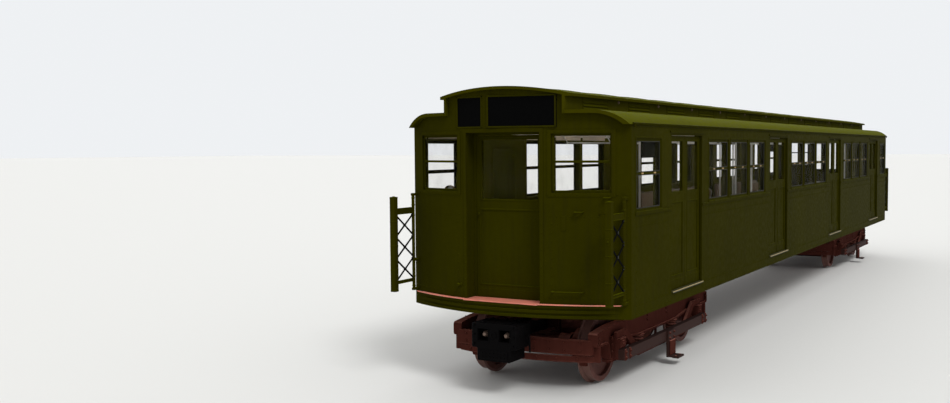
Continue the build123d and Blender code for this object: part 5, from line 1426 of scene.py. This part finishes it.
def soft_form(name, centre, axes, half, crown, piping):
    """A crowned cushion: axes are its two flat directions and the way it faces, half its three half sizes."""
    bm = bmesh.new()
    bmesh.ops.create_cube(bm, size=2)
    bmesh.ops.subdivide_edges(bm, edges=bm.edges[:], cuts=9, use_grid_fill=True)
    rounding = min(0.036, 0.45 * min(half))

    def drawn_in(u, v):
        """How far the middle of each edge is pulled inwards."""
        return -EDGE_PULL * u * (1 - v * v), -EDGE_PULL * v * (1 - u * u)

    for vert in bm.verts:
        u, v, w = (sin(value * pi / 2) for value in vert.co)
        point = Vector((u * half[0], v * half[1], w * half[2]))
        core = Vector([max(rounding - edge, min(edge - rounding, value)) for value, edge in zip(point, half)])
        away = point - core
        if away.length > rounding:
            point = core + away * (rounding / away.length)
        rise = crown * (1 - u * u) * (1 - v * v) * max(w, 0)
        vert.co = point + Vector((*drawn_in(u, v), rise))

    inset = 0.29 * rounding
    seam = []
    for turn in range(4):
        for along in evenly(-1, 1, 12)[:-1]:
            corner = ((along, -1), (1, along), (-along, 1), (-1, -along))[turn]
            u, v = (max(-SEAM_REACH, min(SEAM_REACH, value)) for value in corner)
            pull_x, pull_y = drawn_in(u, v)
            x = (half[0] - inset) * u / SEAM_REACH + pull_x
            y = (half[1] - inset) * v / SEAM_REACH + pull_y
            seam.append((x * 0.985, y * 0.985))
    for z in around(0, half[2] - inset):
        add_tube(bm, [(x, y, z) for x, y in seam], piping, 6, closed=True, material=1)
    rotation = Matrix([Vector(axis) for axis in axes]).transposed().to_4x4()
    bm.transform(Matrix.Translation(centre) @ rotation)
    piece = finish_piece(name, bm, ["seat", "rubber"], "carbody", 180)
    smooth = piece.modifiers.new("smooth", "SUBSURF")
    smooth.levels = smooth.render_levels = 1
    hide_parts("seat_cushions")


class SUBWAY_OT_seats(bpy.types.Operator):
    """Woven spring cushions and backs in place of the plain ones, with their handles"""

    bl_idname = "subway.seats"
    bl_label = "Seats"

    def execute(self, context):
        handles = bmesh.new()
        for side, sign in SIDES:
            for bay_number, bay in enumerate(BAY_X, 1):
                for seat_number, (kind, offset, length) in enumerate(SEATS, 1):
                    name = f"seat_{side}_{bay_number}_{seat_number}"
                    self.add_seat(name, kind, bay + offset, sign, 1 if offset > 0 else -1, length, handles)
        finish_piece("seat_trim", handles, "steel", "carbody", 35)
        return {"FINISHED"}

    def add_seat(self, name, kind, x, sign, facing, length, handles):
        """A cushion and its back: a bench's stands on the wall, a pair's across the car."""
        sizes = bpy.context.scene.subway_sizes
        deep = SEAT_DEPTH[kind]
        middle_y = sign * (WALL_IN - deep / 2 - 0.001)
        half_length, half_depth = length / 2 - 0.004, deep / 2 - 0.004
        centre = (x, middle_y, SEAT_TOP - 0.068)
        half = (half_length, half_depth, 0.052)
        upright = ((1, 0, 0), (0, 1, 0), UP)
        soft_form(f"{name}_cushion", centre, upright, half, sizes.crown, sizes.piping)
        back_z = (SEAT_TOP + SEAT_BACK) / 2 + 0.004
        back_half = (SEAT_BACK - SEAT_TOP) / 2 - 0.008
        if kind == "bench":
            centre = (x, sign * (WALL_IN - 0.042), back_z)
            axes = ((sign, 0, 0), UP, (0, -sign, 0))
            half = (half_length, back_half, 0.04)
        else:
            centre = (x - facing * 0.198, middle_y, back_z)
            axes = ((0, facing, 0), UP, (facing, 0, 0))
            half = (half_depth, back_half, 0.04)
            self.add_handle(handles, x - facing * 0.2, sign, sign * (WALL_IN - deep))
        soft_form(f"{name}_back", centre, axes, half, sizes.crown * 0.6, sizes.piping)

    @staticmethod
    def add_handle(bm, x, sign, aisle_y):
        """A grab loop at the aisle corner of a seat's back."""
        top = SEAT_BACK + 0.006
        bends = ((0.2, -0.002), (0.05, 0.006), (-0.004, -0.02), (-0.008, -0.09), (0.004, -0.17))
        points = [(x, aisle_y + sign * inward, top + rise) for inward, rise in bends]
        add_tube(bm, points, 0.009, 8, up=OUT_FRONT)


class SUBWAY_OT_interior(bpy.types.Operator):
    """Ceiling, lamps, hand rails, blank cards, sills, heater guards and pole flanges"""

    bl_idname = "subway.interior"
    bl_label = "Interior"

    def execute(self, context):
        self.ceiling()
        self.lamps()
        self.rails()
        self.wall_trim()
        self.pole_flanges()
        return {"FINISHED"}

    @staticmethod
    def ceiling():
        """One sheet under both roofs, bowed at its ends like the end walls."""
        bm = bmesh.new()
        section = [(y, z) for y, z in CEILING_SECTION] + [(-y, z) for y, z in CEILING_SECTION[-2::-1]]
        line = [bm.verts.new((0, y, z)) for y, z in section]
        edges = [bm.edges.new(pair) for pair in zip(line, line[1:])]
        bmesh.ops.extrude_edge_only(bm, edges=edges)
        rear = set(line)
        for vert in bm.verts:
            vert.co.x = wall_x(vert.co.y, -0.105) * (-1 if vert in rear else 1)
        inner = duplicate_all(bm)
        bmesh.ops.scale(bm, vec=(1, 0.995, 1), verts=inner)
        bmesh.ops.translate(bm, vec=(0, 0, -0.004), verts=inner)
        bmesh.ops.bridge_loops(bm, edges=[edge for edge in bm.edges if edge.is_boundary])
        face_outwards(bm)
        finish_piece("ceiling_liner", bm, "ceiling", "carbody", 35)

    @staticmethod
    def lamps():
        """Bare bulbs in roses, in a row under the clerestory and one under each deck."""
        bm = bmesh.new()
        for x in evenly(-7.6, 7.6, 8):
            spot = Vector((x, 0, MONITOR_Z + 0.066))
            add_turned(bm, spot, DOWN, LAMP_ROSE, 16)
            add_turned(bm, spot, DOWN, BULB, 14, 1)
        for x in evenly(-6.65, 6.65, 7):
            for y in (-0.95, 0.95):
                spot = Vector((x, y, DECK_Z - 0.01))
                add_turned(bm, spot, DOWN, DECK_ROSE, 16)
                add_turned(bm, spot + Vector((0, 0, 0.008)), DOWN, BULB, 14, 1)
        finish_piece("ceiling_lamps", bm, ["white", "bulb"], "carbody", 35)

    @staticmethod
    def rails():
        bm = bmesh.new()
        rail_z = RAIL_Z + 2.98
        for sign in BOTH:
            for bay in BAY_X:
                rail = [(x, sign * 0.62, rail_z) for x in around(bay, 1.6)]
                add_rod(bm, *rail, 0.012, 10)
                for x in evenly(bay - 1.58, bay + 1.58, 2):
                    add_rod(bm, (x, sign * 0.62, rail_z), (x, sign * 0.82, DECK_Z - 0.01), 0.008, 8)
        finish_piece("hand_rails", bm, "white", "carbody", 40)

    @staticmethod
    def wall_trim():
        """Blank cards over the windows, sills under them, and heater guards by the floor."""
        bm = bmesh.new()
        for sign in BOTH:
            wall = sign * WALL_IN
            for x, width in SIDE_WINDOWS:
                card_z = (WINDOW_TOP_Z + 0.02, WINDOW_TOP_Z + 0.14)
                add_span(bm, around(x, width / 2), (wall - sign * 0.012, wall), card_z, 0.002, 1)
                sill = (wall - sign * 0.02, wall)
                add_span(bm, around(x, width / 2 + 0.02), sill, (WINDOW_LOW_Z - 0.035, WINDOW_LOW_Z), 0.004)
            for x, _ in BAY_WINDOWS:
                for low in evenly(FLOOR_TOP + 0.03, FLOOR_TOP + 0.09, 2):
                    add_span(bm, around(x, 0.4), (wall - sign * 0.014, wall), (low, low + 0.014), 0.001, 2)
        finish_piece("inside_trim", bm, ["inside", "blank", "steel"], "carbody")

    @staticmethod
    def pole_flanges():
        bm = bmesh.new()
        for number in DOOR_NUMBERS:
            for x in around(doorway_middle(number), 0.48):
                for y in (-0.88, 0.88):
                    add_turned(bm, (x, y, FLOOR_TOP), UP, POLE_FLANGE, 16)
                    add_turned(bm, (x, y, DECK_Z - 0.002), DOWN, POLE_FLANGE, 16)
        finish_piece("pole_flanges", bm, "white", "carbody", 35)


class SUBWAY_OT_cab(bpy.types.Operator):
    """Controller, brake valve, gauge, stool and partition mouldings of both cabs"""

    bl_idname = "subway.cab"
    bl_label = "Cabs"

    def execute(self, context):
        bm = bmesh.new()
        self.controls(bm)
        self.gauge(bm, Vector((8.75, -1.08, FLOOR_TOP + 1.28)))
        self.furniture(bm)
        add_other_end(bm)
        materials = ["inside", "under", "brass", "rubber", "dial", "glass"]
        finish_piece("cab_fittings", bm, materials, "carbody", 35)
        return {"FINISHED"}

    @staticmethod
    def controls(bm):
        """The controller's case and handle, and the brake valve on its pipe."""
        x, y, top = 8.62, -0.85, FLOOR_TOP + 0.98
        add_span(bm, around(x, 0.13), around(y, 0.16), (FLOOR_TOP + 0.002, top), 0.012)
        add_turned(bm, (x, y, top), UP, CONTROLLER_CAP, 24, 2)
        add_box(bm, (x - 0.06, y, top + 0.09), (0.17, 0.028, 0.018), 0.005, material=2)
        add_turned(bm, (x - 0.135, y, top + 0.095), UP, HANDLE_GRIP, 12, 3)
        x, y, top = 8.6, -1.2, FLOOR_TOP + 0.9
        add_rod(bm, (x, y, FLOOR_TOP + 0.004), (x, y, top), 0.022, 12, 1)
        add_turned(bm, (x, y, top), UP, VALVE_BODY, 18, 2)
        add_box(bm, (x - 0.07, y, top + 0.09), (0.18, 0.02, 0.02), 0.005, material=2)

    @staticmethod
    def gauge(bm, gauge):
        """A round gauge with a dial and two hands, on a pipe from the floor."""
        add_turned(bm, gauge, INTO_CAB, GAUGE_CASE, 28, 2)
        add_turned(bm, gauge, INTO_CAB, GAUGE_DIAL, 28, 4)
        pivot = gauge + Vector((-0.048, 0, 0))
        for turn in (0.9, -1.6):
            add_rod(bm, pivot, pivot + 0.045 * Vector((0, sin(turn), cos(turn))), 0.002, 6, 3)
        add_rod(bm, gauge + Vector((0, 0, -0.07)), (gauge.x, gauge.y, FLOOR_TOP + 0.004), 0.009, 8, 2)

    @staticmethod
    def furniture(bm):
        """The stool, a row of switches, and the partition's window, door edge and knob."""
        add_turned(bm, (8.1, -1.1, FLOOR_TOP + 0.002), UP, STOOL, 24, 1)
        add_span(bm, (7.75, 8.1), (-1.38, -1.36), (FLOOR_TOP + 1.0, FLOOR_TOP + 1.5), 0.006)
        for x in evenly(7.82, 8.03, 3):
            add_dome(bm, (x, -1.36, FLOOR_TOP + 1.4), OUT_LEFT, 0.014, 0.014, 12, 3)
        wall_y = -0.55
        window_x, window_z = (7.96, 8.56), (WINDOW_LOW_Z, RAIL_Z + 2.91)
        add_frame(bm, window_x, window_z, (wall_y - 0.003, wall_y + 0.008), 0.03, 0.003)
        add_span(bm, window_x, (wall_y - 0.018, wall_y - 0.013), window_z, material=5)
        post_z = (FLOOR_TOP + 0.002, FLOOR_TOP + 2.0)
        add_span(bm, (7.64, 7.7), (wall_y - 0.05, wall_y + 0.006), post_z, 0.004)
        add_turned(bm, (7.9, wall_y, FLOOR_TOP + 0.95), OUT_LEFT, CAB_KNOB, 14, 2)


class SUBWAY_OT_stage(bpy.types.Operator):
    """Floor, soft lights and the camera at the photograph's place"""

    bl_idname = "subway.stage"
    bl_label = "Stage"

    def execute(self, context):
        self.floor(context.scene)
        self.world(context.scene)
        self.lights(context.scene)
        self.camera(context.scene)
        context.scene.view_settings.view_transform = "Standard"
        return {"FINISHED"}

    @staticmethod
    def floor(scene):
        bm = bmesh.new()
        bmesh.ops.create_grid(bm, x_segments=1, y_segments=1, size=400)
        mesh = bpy.data.meshes.new("studio_floor")
        bm.to_mesh(mesh)
        bm.free()
        floor = bpy.data.objects.new("studio_floor", mesh)
        scene.collection.objects.link(floor)
        ground = Finish("studio_floor")
        ground.set("Base Color", (0.72, 0.72, 0.7))
        ground.set("Roughness", 0.85)
        mesh.materials.append(ground.material)

    @staticmethod
    def world(scene):
        """A pale backdrop for the camera, for glass and for reflections, and softer light for the rest."""
        world = bpy.data.worlds.new("studio")
        world.use_nodes = True
        nodes, links = world.node_tree.nodes, world.node_tree.links
        nodes.clear()
        output = nodes.new("ShaderNodeOutputWorld")
        soft = nodes.new("ShaderNodeBackground")
        soft.inputs["Color"].default_value = (1, 1, 1, 1)
        soft.inputs["Strength"].default_value = 0.75
        shown = nodes.new("ShaderNodeBackground")
        shown.inputs["Color"].default_value = (0.86, 0.88, 0.9, 1)
        shown.inputs["Strength"].default_value = 1
        rays = nodes.new("ShaderNodeLightPath")
        seen = rays.outputs["Is Camera Ray"]
        for kind in ("Is Glossy Ray", "Is Transmission Ray"):
            either = nodes.new("ShaderNodeMath")
            either.operation = "MAXIMUM"
            links.new(seen, either.inputs[0])
            links.new(rays.outputs[kind], either.inputs[1])
            seen = either.outputs[0]
        mix = nodes.new("ShaderNodeMixShader")
        links.new(seen, mix.inputs[0])
        links.new(soft.outputs[0], mix.inputs[1])
        links.new(shown.outputs[0], mix.inputs[2])
        links.new(mix.outputs[0], output.inputs[0])
        scene.world = world

    @staticmethod
    def lights(scene):
        for name, tilt, heading, strength, angle in (("key", 42, 146, 1.5, 20), ("fill", 60, -60, 0.5, 60)):
            data = bpy.data.lights.new(name, "SUN")
            data.energy = strength
            data.angle = radians(angle)
            lamp = bpy.data.objects.new(name, data)
            lamp.rotation_euler = (radians(tilt), 0, radians(heading))
            scene.collection.objects.link(lamp)

    @staticmethod
    def camera(scene):
        """The camera fitted to the photograph, with its principal point off the middle."""
        data = bpy.data.cameras.new("camera")
        data.sensor_width = 36
        data.lens = scene.subway_sizes.camera_lens
        data.shift_x = (PHOTO_WIDTH / 2 - PRINCIPAL_X) / PHOTO_WIDTH
        data.clip_start, data.clip_end = 0.1, 2000
        camera = bpy.data.objects.new("camera", data)
        forward = Vector((-cos(YAW) * cos(PITCH), -sin(YAW) * cos(PITCH), -sin(PITCH)))
        level = Vector((-sin(YAW), cos(YAW), 0))
        upright = level.cross(forward)
        right = level * cos(ROLL) + upright * sin(ROLL)
        up = upright * cos(ROLL) - level * sin(ROLL)
        turn = Matrix((right, up, -forward)).transposed()
        camera.matrix_world = Matrix.Translation(CAMERA_PLACE) @ turn.to_4x4()
        scene.collection.objects.link(camera)
        scene.camera = camera


OPERATORS = (
    SUBWAY_OT_finishes,
    SUBWAY_OT_rivets,
    SUBWAY_OT_roof_fittings,
    SUBWAY_OT_windows,
    SUBWAY_OT_door_fittings,
    SUBWAY_OT_end_fittings,
    SUBWAY_OT_gates,
    SUBWAY_OT_couplers,
    SUBWAY_OT_trucks,
    SUBWAY_OT_underfloor,
    SUBWAY_OT_seats,
    SUBWAY_OT_interior,
    SUBWAY_OT_cab,
    SUBWAY_OT_stage,
)


class SUBWAY_PT_dresser(bpy.types.Panel):
    """Lists the operators that dress the car."""

    bl_label = "Subway car"
    bl_space_type = "VIEW_3D"
    bl_region_type = "UI"
    bl_category = "Subway car"

    def draw(self, context):
        for operator in OPERATORS:
            self.layout.operator(operator.bl_idname)
        for group in (context.scene.subway_colours, context.scene.subway_sizes):
            for key in group.__annotations__:
                self.layout.prop(group, key)


CLASSES = (SubwayColours, SubwaySizes, *OPERATORS, SUBWAY_PT_dresser)


def register():
    for item in CLASSES:
        bpy.utils.register_class(item)
    bpy.types.Scene.subway_colours = PointerProperty(type=SubwayColours)
    bpy.types.Scene.subway_sizes = PointerProperty(type=SubwaySizes)


def unregister():
    del bpy.types.Scene.subway_colours
    del bpy.types.Scene.subway_sizes
    for item in reversed(CLASSES):
        bpy.utils.unregister_class(item)


def main():
    register()
    for operator in OPERATORS:
        group, name = operator.bl_idname.split(".")
        getattr(getattr(bpy.ops, group), name)()


if __name__ == "__main__":
    main()
